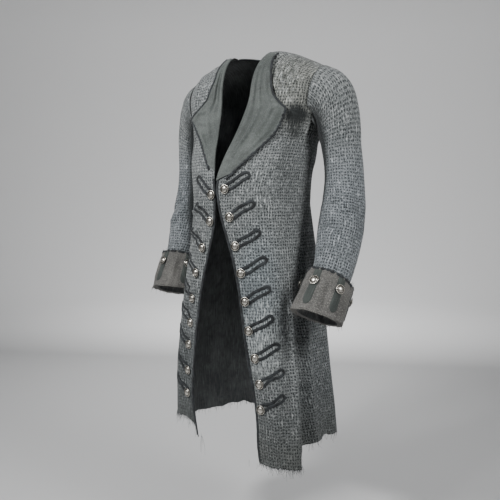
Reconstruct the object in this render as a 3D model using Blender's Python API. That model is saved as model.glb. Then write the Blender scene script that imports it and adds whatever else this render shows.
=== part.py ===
"""A knee-length frock coat, standing open as it is worn by an upright figure.

Metres, +Z up. The origin is the middle of the neck opening, on the line through the two side-neck
points. The wearer faces -Y, and the wearer's left is +X. "Level" is a height below the origin up to
the yoke, and from there on it climbs over the shoulder to its ridge at level 0. "Turn" is the angle
round the body, from 0 at the front to 180 degrees at the back, on each side.
"""

import functools
import math

import bmesh
import bpy
import numpy as np

WALL = 0.0022  # shell cloth with its interlining
FACING_WALL = 0.0020
SEAM = 0.0003  # gap between two sewn pieces
SIDES = {"left": 1, "right": -1}

YOKE = -0.150  # where the shoulder starts to round over
SIDE_NECK = 0.090
NECKLINE = 0.71  # how far up the shoulder's roll the middle of the back ends
ARMPIT = -0.250
ARMPIT_REACH = 0.070  # height over which the armhole rounds up from the side seam

LOOP_LENGTH = 0.083
LOOP_HALF_WIDTH = 0.0088  # from the middle of the loop to the middle of its braid
LOOP_START = 0.006  # from the middle of the button
LOOP_RISE = {"left": 31.0, "right": 38.0}
PINCH = 0.48  # how much the two lowest loops are drawn together where they are twisted
BRAID_WIDTH = 0.0070
BRAID_HEIGHT = 0.0018
TRIM_GAP = 0.0006  # between a trim and the cloth under it

# The buttons round each cuff, as turns from the outside of the arm, forward negative.
CUFF_BUTTON_TURNS = {"left": (-158.0, -93.0, -33.0, 35.0), "right": (-152.0, -78.0, -16.0, 50.0)}
CUFF_BUTTON_PLACE = 0.34  # share of the cuff's height, from its top
CUFF_COLUMN_ANGLE = 19.0
TAB_HALF_ANGLE = 9.5
TAB_PLACES = (0.20, 0.86)
TAB_RISE = 0.0016
CUFF_SEAT = 0.0012  # from the sleeve to the cuff's turned-in edge, at its corners

# The body, ring by ring: half-width on each side, the front's and the back's distance from the
# origin, the place of the widest line, and how square the ring is (2 is an ellipse).
BODY = (
    ("level", "left", "right", "front", "back", "middle", "square"),
    (-1.260, 0.270, 0.260, -0.214, 0.168, -0.045, 3.0),
    (-1.050, 0.250, 0.246, -0.226, 0.152, -0.045, 3.0),
    (-0.870, 0.230, 0.220, -0.234, 0.138, -0.045, 3.0),
    (-0.700, 0.208, 0.194, -0.236, 0.124, -0.045, 2.9),
    (-0.560, 0.190, 0.174, -0.236, 0.108, -0.045, 2.6),
    (-0.460, 0.180, 0.162, -0.239, 0.098, -0.045, 2.5),
    (-0.400, 0.182, 0.170, -0.238, 0.100, -0.040, 2.5),
    (-0.337, 0.188, 0.188, -0.220, 0.106, -0.030, 2.6),
    (-0.265, 0.200, 0.202, -0.186, 0.115, -0.015, 2.7),
    (-0.200, 0.222, 0.224, -0.158, 0.122, -0.004, 2.9),
    (-0.150, 0.246, 0.246, -0.140, 0.124, 0.002, 3.0),
)

# The front edge: the fold of the lapel down to the first button, then the open skirt.
FRONT_EDGE = (
    ("level", "left", "right"),
    (-1.260, 0.139, 0.078),
    (-1.200, 0.130, 0.094),
    (-1.120, 0.127, 0.110),
    (-1.050, 0.119, 0.112),
    (-0.972, 0.107, 0.102),
    (-0.900, 0.097, 0.088),
    (-0.814, 0.087, 0.074),
    (-0.720, 0.075, 0.055),
    (-0.630, 0.055, 0.032),
    (-0.572, 0.036, 0.015),
    (-0.515, 0.018, 0.003),
    (-0.460, 0.007, 0.001),
    (-0.420, 0.003, 0.001),
    (-0.380, 0.009, 0.008),
    (-0.337, 0.019, 0.019),
    (-0.265, 0.037, 0.033),
    (-0.160, 0.056, 0.050),
    (-0.090, 0.064, 0.060),
    (-0.040, 0.076, 0.074),
    (0.000, 0.090, 0.090),
)

# The side seam, as a turn, and how deep the skirt's side pleat is drawn in there.
SIDE_SEAM = (
    ("level", "turn", "pleat"),
    (-1.260, 74.0, 0.036),
    (-1.050, 73.0, 0.032),
    (-0.880, 72.0, 0.026),
    (-0.760, 73.5, 0.018),
    (-0.650, 78.0, 0.011),
    (-0.550, 86.0, 0.004),
    (-0.460, 93.0, 0.000),
    (-0.250, 94.0, 0.000),
)
PLEAT_HALF_TURN = 8.5

# Where each front and back ends at the armhole, as a distance from the body's middle.
ARMHOLE = (
    ("level", "front", "back"),
    (-0.250, 0.2040, 0.2040),
    (-0.225, 0.2080, 0.2060),
    (-0.195, 0.2130, 0.2080),
    (-0.165, 0.2190, 0.2130),
    (-0.120, 0.2250, 0.2210),
    (-0.070, 0.2300, 0.2280),
    (-0.030, 0.2340, 0.2330),
    (0.000, 0.2360, 0.2360),
)

# The buttons of the two fronts, from the top: each one's level, and how far it is from the edge.
BUTTONS = (
    ("left", "left_inset", "right", "right_inset"),
    (-0.426, 0.031, -0.442, 0.014),
    (-0.507, 0.033, -0.521, 0.018),
    (-0.591, 0.024, -0.601, 0.032),
    (-0.669, 0.021, -0.679, 0.038),
    (-0.751, 0.019, -0.760, 0.037),
    (-0.837, 0.019, -0.838, 0.037),
    (-0.917, 0.028, -0.910, 0.038),
    (-0.992, 0.031, -0.994, 0.030),
    (-1.068, 0.023, -1.067, 0.024),
)

# Soft folds of the skirt: where each starts, its turn there and at the hem, its half-width as a
# turn, and how far it stands out at the hem (negative draws in).
FOLDS = (
    ("side", "start", "turn_up", "turn_low", "half_turn", "depth"),
    ("left", -0.50, 40.0, 47.0, 9.0, 0.007),
    ("left", -0.60, 24.0, 36.0, 5.0, -0.005),
    ("left", -0.52, 104.0, 100.0, 9.0, 0.016),
    ("left", -0.58, 122.0, 121.0, 8.0, -0.014),
    ("left", -0.55, 142.0, 141.0, 10.0, 0.015),
    ("left", -0.60, 162.0, 162.0, 8.0, -0.010),
    ("right", -0.50, 44.0, 50.0, 9.0, 0.008),
    ("right", -0.66, 30.0, 34.0, 6.0, -0.006),
    ("right", -0.52, 102.0, 99.0, 9.0, 0.018),
    ("right", -0.56, 119.0, 118.0, 8.0, -0.014),
    ("right", -0.58, 139.0, 140.0, 10.0, 0.014),
    ("right", -0.62, 160.0, 161.0, 8.0, -0.011),
)

# The hem of each panel, from its front or middle edge (0) to the side seam (1).
HEMS = {
    "front_left": (
        ("across", "level"),
        (0.00, -1.232),
        (0.30, -1.240),
        (0.80, -1.248),
        (0.92, -1.236),
        (1.00, -1.205),
    ),
    "front_right": (
        ("across", "level"),
        (0.00, -1.202),
        (0.10, -1.160),
        (0.20, -1.146),
        (0.60, -1.150),
        (1.00, -1.178),
    ),
    "back_left": (
        ("across", "level"),
        (0.00, -1.214),
        (0.40, -1.206),
        (0.65, -1.182),
        (0.85, -1.172),
        (1.00, -1.192),
    ),
    "back_right": (
        ("across", "level"),
        (0.00, -1.212),
        (0.40, -1.204),
        (0.75, -1.216),
        (1.00, -1.190),
    ),
}
HEM_LEVEL = -1.200  # the lowest row's level before it is moved to its panel's hem
HEM_REACH = -0.950  # rows below this follow the hem

# The free edge of each lapel, from the first button up past its point to the side of the neck.
LAPELS = {
    "left": (
        ("level", "edge", "lift"),
        (-0.402, 0.034, 0.0030),
        (-0.378, 0.060, 0.0034),
        (-0.350, 0.086, 0.0040),
        (-0.310, 0.120, 0.0050),
        (-0.270, 0.147, 0.0060),
        (-0.230, 0.162, 0.0075),
        (-0.195, 0.171, 0.0090),
        (-0.180, 0.157, 0.0085),
        (-0.160, 0.140, 0.0075),
        (-0.130, 0.124, 0.0060),
        (-0.090, 0.112, 0.0048),
        (-0.045, 0.103, 0.0040),
    ),
    "right": (
        ("level", "edge", "lift"),
        (-0.372, 0.028, 0.0030),
        (-0.350, 0.042, 0.0034),
        (-0.324, 0.060, 0.0040),
        (-0.290, 0.088, 0.0050),
        (-0.255, 0.120, 0.0060),
        (-0.225, 0.150, 0.0075),
        (-0.203, 0.174, 0.0090),
        (-0.186, 0.150, 0.0085),
        (-0.165, 0.122, 0.0075),
        (-0.146, 0.104, 0.0060),
        (-0.110, 0.084, 0.0050),
        (-0.045, 0.086, 0.0046),
    ),
}
# The lapel's fold round the front edge: how far past the edge, and how far above the shell.
FOLD_STEPS = ((-0.0017, 0.0000), (-0.0015, 0.0022), (0.0004, 0.0036))
LAPEL_REST = 0.0040  # height of the lapel's middle line above the shell, next to its fold
LAPEL_LIFT = 0.0030  # lift at which the free edge lies no higher than that
LAPEL_ROWS = 24
LAPEL_COLUMNS = (0.12, 0.32, 0.55, 0.78, 1.0)

# The arms, from the shoulder to the end of the sleeve: centre, radii, and each ring's two tilts.
SHOULDER = (
    ("x", "y", "z", "wide", "deep", "lean", "swing"),
    (0.2710, 0.006, -0.222, 0.0730, 0.0670, 38.0, 0.0),
    (0.2780, 0.007, -0.258, 0.0640, 0.0630, 22.0, 0.0),
    (0.2830, 0.008, -0.302, 0.0580, 0.0590, 10.0, 0.0),
)
ARMS = {
    "left": (
        *SHOULDER,
        (0.2910, 0.008, -0.360, 0.0570, 0.0580, 4.0, 3.0),
        (0.2960, 0.003, -0.420, 0.0590, 0.0610, 0.0, 8.0),
        (0.2990, -0.008, -0.480, 0.0640, 0.0660, 0.0, 15.0),
        (0.3010, -0.026, -0.540, 0.0660, 0.0690, -1.0, 20.0),
        (0.3030, -0.050, -0.600, 0.0630, 0.0670, -2.0, 25.0),
        (0.3040, -0.075, -0.650, 0.0570, 0.0610, -3.0, 29.0),
        (0.3030, -0.098, -0.690, 0.0540, 0.0570, -4.0, 32.0),
        (0.3000, -0.128, -0.738, 0.0550, 0.0570, -5.0, 30.0),
        (0.2960, -0.160, -0.786, 0.0570, 0.0590, -6.0, 27.0),
    ),
    "right": (
        *SHOULDER,
        (0.2860, 0.010, -0.360, 0.0570, 0.0580, 4.0, 2.0),
        (0.2880, 0.009, -0.420, 0.0590, 0.0610, 0.0, 5.0),
        (0.2890, 0.003, -0.470, 0.0640, 0.0660, 0.0, 9.0),
        (0.2910, -0.010, -0.525, 0.0660, 0.0680, -1.0, 13.0),
        (0.2940, -0.026, -0.580, 0.0630, 0.0660, -2.0, 16.0),
        (0.2970, -0.041, -0.628, 0.0580, 0.0610, -3.0, 19.0),
        (0.2980, -0.055, -0.665, 0.0540, 0.0570, -4.0, 21.0),
        (0.2980, -0.075, -0.714, 0.0550, 0.0570, -5.0, 21.0),
        (0.2975, -0.094, -0.764, 0.0570, 0.0590, -6.0, 20.0),
    ),
}
# The cuffs, from the free top edge to the turned bottom edge.
CUFFS = {
    "left": (
        SHOULDER[0],
        (0.3020, -0.096, -0.688, 0.0680, 0.0680, -5.0, 38.0),
        (0.3010, -0.117, -0.719, 0.0690, 0.0690, -5.0, 34.0),
        (0.2985, -0.139, -0.753, 0.0710, 0.0720, -5.0, 30.0),
        (0.2955, -0.163, -0.790, 0.0740, 0.0760, -5.0, 26.0),
    ),
    "right": (
        SHOULDER[0],
        (0.2980, -0.052, -0.655, 0.0670, 0.0670, -4.0, 24.0),
        (0.2980, -0.065, -0.688, 0.0680, 0.0680, -4.0, 23.0),
        (0.2980, -0.081, -0.728, 0.0700, 0.0710, -5.0, 21.0),
        (0.2975, -0.097, -0.770, 0.0730, 0.0750, -5.0, 19.0),
    ),
}
SLEEVE_SEAT = 0.0010  # from the shell to the sleeve's edge that is sewn over it
HEAD_RISE = 0.017  # how far the sleeve's head stands out of a straight line, outwards and up
SLEEVE_COLUMNS = 20
SLEEVE_FRONT_SEAM, SLEEVE_HIND_SEAM = 6, 14  # columns, from the outside of the arm forwards


def column(table, name, at):
    """A named column of a table, read smoothly at a value of the table's first column."""
    rows = np.array(table[1:], float)
    where = np.clip(at, rows[0, 0], rows[-1, 0])
    values = rows[:, table[0].index(name)]
    return smooth_value(rows[:, 0], values, where)


def smooth_value(places, values, at):
    """Cubic reading between rows, with each row's slope taken from its two neighbours."""
    i = int(np.clip(np.searchsorted(places, at) - 1, 0, len(places) - 2))
    slopes = np.gradient(values, places)
    span = places[i + 1] - places[i]
    t = (at - places[i]) / span
    return (
        values[i] * (1 + 2 * t) * (1 - t) ** 2
        + slopes[i] * span * t * (1 - t) ** 2
        + values[i + 1] * t * t * (3 - 2 * t)
        - slopes[i + 1] * span * t * t * (1 - t)
    )


def ease(value):
    """0 to 1 with a soft start and end."""
    t = min(1.0, max(0.0, value))
    return t * t * (3 - 2 * t)


def bump(distance, half_width):
    """A smooth hill, 1 in the middle and 0 from its half-width on."""
    t = abs(distance) / half_width
    return 0.0 if t >= 1 else (1 - t * t) ** 2


def ridge_height(x):
    """The shoulder's ridge: it falls from the side of the neck to the sleeve."""
    if abs(x) < SIDE_NECK:
        return 0.012 * (1 - (x / SIDE_NECK) ** 2)
    return -0.062 * ((abs(x) - SIDE_NECK) / 0.146) ** 1.25


@functools.lru_cache(maxsize=None)
def ring_at(side, level):
    """The body's ring at a level: its measures, and its folds as turn, half-width and depth."""
    low = min(level, YOKE)
    measures = [column(BODY, name, low) for name in (side, "front", "back", "middle", "square")]
    seam, pleat = (column(SIDE_SEAM, name, level) for name in ("turn", "pleat"))
    folds = [(seam, PLEAT_HALF_TURN, -pleat)]
    for row in FOLDS[1:]:
        fold = dict(zip(FOLDS[0], row))
        if fold["side"] == side and level < fold["start"]:
            down = (fold["start"] - level) / (fold["start"] - HEM_LEVEL)
            middle = fold["turn_up"] + (fold["turn_low"] - fold["turn_up"]) * down
            folds.append((middle, fold["half_turn"], fold["depth"] * ease(down)))
    return measures, folds


def body_point(side, turn, level):
    """A point in the middle of the shell cloth."""
    (wide, front, back, middle, square), folds = ring_at(side, level)
    across, along = math.sin(math.radians(turn)), math.cos(math.radians(turn))
    deep = middle - front if along > 0 else back - middle
    radius = ((abs(across) / wide) ** square + (abs(along) / deep) ** square) ** (-1 / square)
    radius += sum(depth * bump(turn - place, half) for place, half, depth in folds)
    x = radius * across
    if level <= YOKE:
        return np.array((SIDES[side] * x, middle - radius * along, level))
    climb = math.radians(90 * (level - YOKE) / -YOKE)
    z = YOKE + (ridge_height(x) - YOKE) * math.sin(climb)
    return np.array((SIDES[side] * x, (middle - radius * along) * math.cos(climb), z))


def body_normal(side, turn, level):
    """The cloth's outward normal."""
    step = 0.25, 0.0015
    across = body_point(side, turn + step[0], level) - body_point(side, turn - step[0], level)
    up = body_point(side, turn, level + step[1]) - body_point(side, turn, level - step[1])
    normal = np.cross(across, up) * SIDES[side]
    return normal / np.linalg.norm(normal)


def turn_at(side, x, level, back=False):
    """The turn at which the body is x from its middle plane."""
    low, high = (90.0, 180.0) if back else (0.0, 90.0)
    for _ in range(30):
        turn = (low + high) / 2
        too_far = abs(body_point(side, turn, level)[0]) > x
        if too_far != back:
            high = turn
        else:
            low = turn
    return (low + high) / 2


def turn_along(side, turn, run, level):
    """The turn that lies a length of cloth further round the body, at one level."""
    steps = 6
    for _ in range(steps):
        ahead = body_point(side, turn + 0.5, level) - body_point(side, turn - 0.5, level)
        turn += run / steps / np.linalg.norm(ahead)
    return turn


def front_place(side, x, level, height=0.0):
    """A point on the front, moved out by height, and the cloth's normal there."""
    turn = turn_at(side, x, level)
    normal = body_normal(side, turn, level)
    return body_point(side, turn, level) + height * normal, normal


def panel_levels():
    """The rows shared by fronts and backs, from the hem to the shoulder's ridge."""
    skirt = np.linspace(HEM_LEVEL, -0.50, 16)
    waist = np.linspace(-0.46, ARMPIT, 6)
    yoke = (-0.238, -0.221, -0.198, -0.174)
    shoulder = [YOKE * (1 - climb / 90) for climb in (0, 17, 34, 50, 64, 78, 90)]
    return [*skirt, *waist, *yoke, *shoulder]


# Columns of a front, from its front edge to its side seam, and of a back, from its middle.
FRONT_COLUMNS = (0, 0.10, 0.20, 0.30, 0.40, 0.50, 0.60, 0.70, 0.79, 0.86, 0.91, 0.955, 1)
BACK_COLUMNS = (0, 0.09, 0.18, 0.27, 0.36, 0.43, 0.487, 0.57, 0.66, 0.75, 0.83, 0.90, 0.955, 1)


def hem_level(panel, across, level):
    """Moves the rows near the hem to the panel's own hem line."""
    if level >= HEM_REACH:
        return level
    hem = np.interp(across, *zip(*HEMS[panel][1:]))
    return HEM_REACH + (level - HEM_REACH) * (hem - HEM_REACH) / (HEM_LEVEL - HEM_REACH)


def side_turn(side, level, half):
    """The turn at which a front or a back ends: the side seam, or the armhole above it."""
    seam = column(SIDE_SEAM, "turn", level)
    if level <= ARMPIT:
        return seam
    edge = turn_at(side, column(ARMHOLE, half, level), level, back=half == "back")
    return seam + (edge - seam) * min(1.0, (level - ARMPIT) / ARMPIT_REACH) ** 0.55


def neck_turn(side, level, half):
    """The turn at which a front or a back starts: the front edge, or the middle of the back."""
    return turn_at(side, column(FRONT_EDGE, side, level), level) if half == "front" else 180.0


def under_neckline(side, turn, level):
    """Lowers the back's rows above the yoke so that the last one follows the neckline."""
    x = abs(body_point(side, turn, level)[0])
    if level <= YOKE or x >= SIDE_NECK:
        return level
    share = 1 - (1 - NECKLINE) * (1 - (x / SIDE_NECK) ** 2)
    return YOKE + (level - YOKE) * share


def body_panel(side, half):
    """One front or back, as a wall whose two faces follow the body's surface."""
    panel = f"{half}_{side}"
    columns = FRONT_COLUMNS if half == "front" else BACK_COLUMNS
    points, normals = [], []
    for row_level in panel_levels():
        point_row, normal_row = [], []
        for across in columns:
            level = hem_level(panel, across, row_level)
            start, end = neck_turn(side, level, half), side_turn(side, level, half)
            spare = 0 if level <= ARMPIT else column(SIDE_SEAM, "turn", ARMPIT) - end
            turn = start + (end + spare - start) * across - spare * across**2.4
            if half == "back":
                level = under_neckline(side, turn, level)
            point_row.append(body_point(side, turn, level))
            normal_row.append(body_normal(side, turn, level))
        points.append(point_row)
        normals.append(normal_row)
    apart = np.array((SIDES[side] * SEAM / 2, -SEAM / 2 if half == "front" else SEAM / 2, 0))
    return add_wall(panel, np.array(points) + apart, np.array(normals), WALL)


def grid_normals(points, closed=False):
    """Normals of a grid of points, from its neighbours."""
    if closed:
        across = np.roll(points, -1, axis=1) - np.roll(points, 1, axis=1)
    else:
        across = np.gradient(points, axis=1)
    along = np.gradient(points, axis=0)
    normals = np.cross(across, along)
    return normals / np.linalg.norm(normals, axis=2, keepdims=True)


def add_mesh(name, corners, faces):
    mesh = bpy.data.meshes.new(name)
    mesh.from_pydata([tuple(c) for c in corners], [], faces)
    shape = bmesh.new()
    shape.from_mesh(mesh)
    bmesh.ops.recalc_face_normals(shape, faces=shape.faces)
    shape.to_mesh(mesh)
    shape.free()
    mesh.shade_smooth()
    mesh.set_sharp_from_angle(angle=math.radians(40))
    piece = bpy.data.objects.new(name, mesh)
    bpy.context.scene.collection.objects.link(piece)
    return piece


def add_wall(name, points, normals, wall):
    """A sheet of cloth: a grid of points given a thickness, with its four edges closed."""
    rows, columns = points.shape[:2]
    count = rows * columns
    corners = np.concatenate([(points + side * normals * wall / 2).reshape(-1, 3) for side in (1, -1)])

    def face(a, b, c, d):
        return [(a, b, c, d), (d + count, c + count, b + count, a + count)]

    faces = []
    for i in range(rows - 1):
        for j in range(columns - 1):
            k = i * columns + j
            faces += face(k, k + 1, k + columns + 1, k + columns)
    rim = list(range(columns))
    rim += [i * columns + columns - 1 for i in range(1, rows)]
    rim += [(rows - 1) * columns + j for j in range(columns - 2, -1, -1)]
    rim += [i * columns for i in range(rows - 2, 0, -1)]
    for a, b in zip(rim, rim[1:] + rim[:1]):
        faces.append((a, b, b + count, a + count))
    return add_mesh(name, corners, faces)


def lapel(side):
    """The front's upper corner, turned over so that its facing shows."""
    table = LAPELS[side]
    levels = [row[0] for row in table[1:]]
    points = []
    for level in np.linspace(levels[0], levels[-1], LAPEL_ROWS):
        fold = column(FRONT_EDGE, side, level)
        edge, lift = (np.interp(level, levels, [r[k] for r in table[1:]]) for k in (1, 2))
        row = []
        for past, height in FOLD_STEPS:
            row.append(front_place(side, max(fold + past, 0.0005), level, height)[0])
        for share in LAPEL_COLUMNS:
            height = LAPEL_REST + (lift - LAPEL_LIFT) * share**1.5
            row.append(front_place(side, fold + (edge - fold) * share, level, height)[0])
        points.append(row)
    points = np.array(points)
    return add_wall(f"lapel_{side}", points, grid_normals(points), FACING_WALL)


def ring_of(row, side, turn, grow=0.0):
    """A point of an arm's ring. Turn 0 is the outside of the arm, and 90 is its front."""
    ring = dict(zip(SHOULDER[0], row))
    lean, swing = math.radians(ring["lean"]), math.radians(ring["swing"])
    outward = np.array((math.cos(lean), 0, math.sin(lean)))
    forward = np.array((0, -math.cos(swing), math.sin(swing)))
    angle = math.radians(turn)
    point = np.array((ring["x"], ring["y"], ring["z"]))
    point = point + outward * (ring["wide"] + grow) * math.cos(angle)
    point = point + forward * (ring["deep"] + grow) * math.sin(angle)
    return point * (SIDES[side], 1, 1)


def armhole_point(side, turn):
    """The point over the armhole's edge where a sleeve's column starts."""
    half = "front" if math.sin(math.radians(turn)) >= 0 else "back"
    top = ridge_height(column(ARMHOLE, half, 0.0))
    z = (top + ARMPIT) / 2 + (top - ARMPIT) / 2 * math.cos(math.radians(turn))
    level = z
    if z > YOKE:
        level = YOKE * (1 - math.degrees(math.asin(min(1.0, (z - YOKE) / (top - YOKE)))) / 90)
    place = side_turn(side, level, half)
    return body_point(side, place, level) + (WALL + SLEEVE_SEAT) * body_normal(side, place, level)


def sleeve_grid(side):
    """The sleeve's rings, from the armhole over its rounded head and down the arm."""
    turns = [360 * k / SLEEVE_COLUMNS for k in range(SLEEVE_COLUMNS)]
    armhole = np.array([armhole_point(side, turn) for turn in turns])
    rings = [np.array([ring_of(row, side, turn) for turn in turns]) for row in ARMS[side][1:]]
    rise = np.array([HEAD_RISE * (1 + math.cos(math.radians(turn))) / 2 for turn in turns])
    head = [armhole]
    for share in (0.26, 0.62):
        out = np.outer(rise * 4 * share * (1 - share), (SIDES[side], 0, 1))
        head.append(armhole + (rings[0] - armhole) * share + out)
    return np.array(head + rings)


def sleeve(side):
    """A sleeve cut in two, the upper and the under sleeve, joined along its front and hind seams."""
    grid = sleeve_grid(side)
    normals = grid_normals(grid, closed=True) * SIDES[side]
    normals[:2] = normals[2]
    upper = [k % SLEEVE_COLUMNS for k in range(SLEEVE_HIND_SEAM, SLEEVE_COLUMNS + SLEEVE_FRONT_SEAM + 1)]
    under = list(range(SLEEVE_FRONT_SEAM, SLEEVE_HIND_SEAM + 1))
    pieces = []
    for name, columns in (("upper", upper), ("under", under)):
        points = grid[:, columns].copy()
        for edge, inside in ((0, 1), (-1, -2)):
            way = points[:, inside] - points[:, edge]
            way /= np.linalg.norm(way, axis=1, keepdims=True)
            points[:, edge] += way * SEAM / 2
        pieces.append(add_wall(f"sleeve_{name}_{side}", points, normals[:, columns], WALL))
    return pieces


def cuff_turns(side):
    """Columns round the cuff: a pair at each edge of each raised tab, and some between."""
    turns = []
    tabs = CUFF_BUTTON_TURNS[side]
    foot = TAB_HALF_ANGLE + 2
    for tab, following in zip(tabs, (*tabs[1:], tabs[0] + 360)):
        turns += [tab + edge for edge in (-foot, -TAB_HALF_ANGLE, TAB_HALF_ANGLE, foot)]
        start, end = tab + foot, following - foot
        parts = round((end - start) / CUFF_COLUMN_ANGLE)
        turns += [start + (end - start) * k / parts for k in range(1, parts)]
    return turns


def cuff_row(side, share):
    """The cuff's ring at a share of its height, from its top edge."""
    rows = np.array(CUFFS[side][1:])
    places = np.linspace(0, 1, len(rows))
    return [np.interp(share, places, rows[:, k]) for k in range(rows.shape[1])]


def cuff(side):
    """The turned-back cuff: a flared tube whose lower edge is folded in to the sleeve's end."""
    low_tab, high_tab = TAB_PLACES
    shares = [0, low_tab - 0.015, low_tab, 0.5, high_tab, high_tab + 0.015, 1]
    sleeve_end, above = (np.array(ARMS[side][k]) for k in (-1, -2))
    turned_rows = (sleeve_end, sleeve_end + (above - sleeve_end) * 0.05)
    loops = []
    for turn in cuff_turns(side):
        on_tab = any(abs(turn - tab) < TAB_HALF_ANGLE + 0.5 for tab in CUFF_BUTTON_TURNS[side])
        profile = []
        for share in shares:
            raised = TAB_RISE if on_tab and low_tab <= share <= high_tab else 0
            profile.append(ring_of(cuff_row(side, share), side, -turn, WALL / 2 + raised))
        profile += [ring_of(row, side, -turn, WALL / 2 + CUFF_SEAT) for row in turned_rows]
        profile += [ring_of(cuff_row(side, share), side, -turn, -WALL / 2) for share in (0.975, 0.5, 0)]
        loops.append(profile)
    return add_ring(f"cuff_{side}", np.array(loops))


def add_ring(name, loops):
    """A closed ring: the same closed outline at each column, joined all round."""
    turns, length = loops.shape[:2]
    faces = []
    for i in range(turns):
        for j in range(length):
            k, m = (i + 1) % turns, (j + 1) % length
            faces.append((i * length + j, k * length + j, k * length + m, i * length + m))
    return add_mesh(name, loops.reshape(-1, 3), faces)


def button_rows(side):
    """Each button's number, its place across the front, and its level."""
    for number, row in enumerate(BUTTONS[1:], 1):
        button_of = dict(zip(BUTTONS[0], row))
        level = button_of[side]
        yield number, column(FRONT_EDGE, side, level) + button_of[f"{side}_inset"], level


def loop_outline(pinched):
    """The middle line of a braid loop, from one end beside the button round to the other."""
    straight = LOOP_LENGTH - LOOP_HALF_WIDTH
    runs = np.linspace(LOOP_START, straight, 6)
    pinch = PINCH if pinched else 0.0
    narrow = [LOOP_HALF_WIDTH * (1 - pinch * bump(run - 0.55 * straight, 0.03)) for run in runs]
    turn = [math.pi / 2 - math.pi * k / 6 for k in range(1, 6)]
    out = list(zip(runs, narrow))
    end = [(straight + LOOP_HALF_WIDTH * math.cos(t), LOOP_HALF_WIDTH * math.sin(t)) for t in turn]
    back = [(run, -half) for run, half in reversed(out)]
    return np.array(out + end + back)


def loop(side, number, middle, level):
    """A button loop of flat braid, laid on the front and pointing up and away from the edge."""
    rise = math.radians(LOOP_RISE[side])
    line = loop_outline(pinched=number >= len(BUTTONS) - 2)
    way = np.gradient(line, axis=0)
    way /= np.linalg.norm(way, axis=1, keepdims=True)
    beside = np.stack([-way[:, 1], way[:, 0]], axis=1)
    loops = []
    for centre, normal in zip(line, beside):
        corners = []
        for edge, height in ((-1, 0), (1, 0), (1, 1), (-1, 1)):
            along, across = centre + normal * edge * BRAID_WIDTH / 2
            up = level + along * math.sin(rise) + across * math.cos(rise)
            run = along * math.cos(rise) - across * math.sin(rise)
            turn = turn_along(side, turn_at(side, middle, up), run, up)
            rest = WALL / 2 + TRIM_GAP + height * BRAID_HEIGHT
            corners.append(body_point(side, turn, up) + rest * body_normal(side, turn, up))
        loops.append(corners)
    return add_bar(f"loop_{side}_{number}", np.array(loops))


def add_bar(name, loops):
    """A bar with closed ends: the same four corners at each station."""
    stations, length = loops.shape[:2]
    faces = []
    for i in range(stations - 1):
        for j in range(length):
            m = (j + 1) % length
            faces.append((i * length + j, (i + 1) * length + j, (i + 1) * length + m, i * length + m))
    last = (stations - 1) * length
    faces += [tuple(range(length)), tuple(last + j for j in range(length))]
    return add_mesh(name, loops.reshape(-1, 3), faces)


# A button's turned outline: radius and height above the cloth.
BUTTON_OUTLINE = (
    ("radius", "height"),
    (0.0035, 0.0000),
    (0.0035, 0.0030),
    (0.0128, 0.0036),
    (0.0140, 0.0048),
    (0.0110, 0.0068),
    (0.0050, 0.0086),
)
BUTTON_SIDES = 8
BUTTON_SEAT = 0.0005


def button(name, place, normal):
    """A domed metal button on its shank, standing on the cloth."""
    helper = np.array((0, 0, 1.0)) if abs(normal[2]) < 0.9 else np.array((1.0, 0, 0))
    first = np.cross(helper, normal)
    first /= np.linalg.norm(first)
    second = np.cross(normal, first)
    corners = []
    for radius, height in BUTTON_OUTLINE[1:]:
        for k in range(BUTTON_SIDES):
            angle = 2 * math.pi * k / BUTTON_SIDES
            around = first * math.cos(angle) + second * math.sin(angle)
            corners.append(place + around * radius + normal * height)
    return add_bar(name, np.array(corners).reshape(-1, BUTTON_SIDES, 3))


def front_button(side, number, middle, level):
    """A button of the fronts."""
    place, normal = front_place(side, middle, level, WALL / 2 + BUTTON_SEAT)
    return button(f"button_{side}_{number}", place, normal)


def cuff_button(side, number, turn):
    """A cuff button, standing on the flat of its raised tab."""
    row, below = (cuff_row(side, CUFF_BUTTON_PLACE + step) for step in (0, 0.02))
    radius = row[SHOULDER[0].index("wide")]
    flat = (radius + WALL / 2 + TAB_RISE) * math.cos(math.radians(TAB_HALF_ANGLE)) - radius
    place = ring_of(row, side, -turn, flat + BUTTON_SEAT)
    down = ring_of(below, side, -turn, flat + BUTTON_SEAT) - place
    around = ring_of(row, side, -turn + 1, flat) - ring_of(row, side, -turn - 1, flat)
    normal = np.cross(around, down)
    normal *= np.sign(normal @ (place - ring_of(row, side, -turn, 0.0))) / np.linalg.norm(normal)
    return button(f"cuff_button_{side}_{number}", place, normal)


def material(name, colour, roughness, metallic=0.0):
    finish = bpy.data.materials.new(name)
    finish.use_nodes = True
    shader = finish.node_tree.nodes["Principled BSDF"]
    shader.inputs["Base Color"].default_value = (*colour, 1)
    shader.inputs["Roughness"].default_value = roughness
    shader.inputs["Metallic"].default_value = metallic
    return finish


def main():
    for old in list(bpy.data.objects):
        bpy.data.objects.remove(old, do_unlink=True)
    shell = material("shell_cloth", (0.17, 0.18, 0.18), 0.9)
    facing = material("facing_cloth", (0.12, 0.14, 0.13), 0.8)
    cuff_cloth = material("cuff_cloth", (0.16, 0.15, 0.135), 0.95)
    braid = material("braid", (0.035, 0.042, 0.045), 0.75)
    metal = material("button_metal", (0.55, 0.52, 0.45), 0.35, 1.0)

    for side in SIDES:
        dressed = [(shell, [body_panel(side, "front"), body_panel(side, "back"), *sleeve(side)])]
        dressed.append((facing, [lapel(side)]))
        dressed.append((cuff_cloth, [cuff(side)]))
        dressed.append((braid, [loop(side, *row) for row in button_rows(side)]))
        fronts = [front_button(side, *row) for row in button_rows(side)]
        cuffs = [cuff_button(side, k + 1, turn) for k, turn in enumerate(CUFF_BUTTON_TURNS[side])]
        dressed.append((metal, fronts + cuffs))
        for finish, pieces in dressed:
            for piece in pieces:
                piece.data.materials.append(finish)


main()
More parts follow.
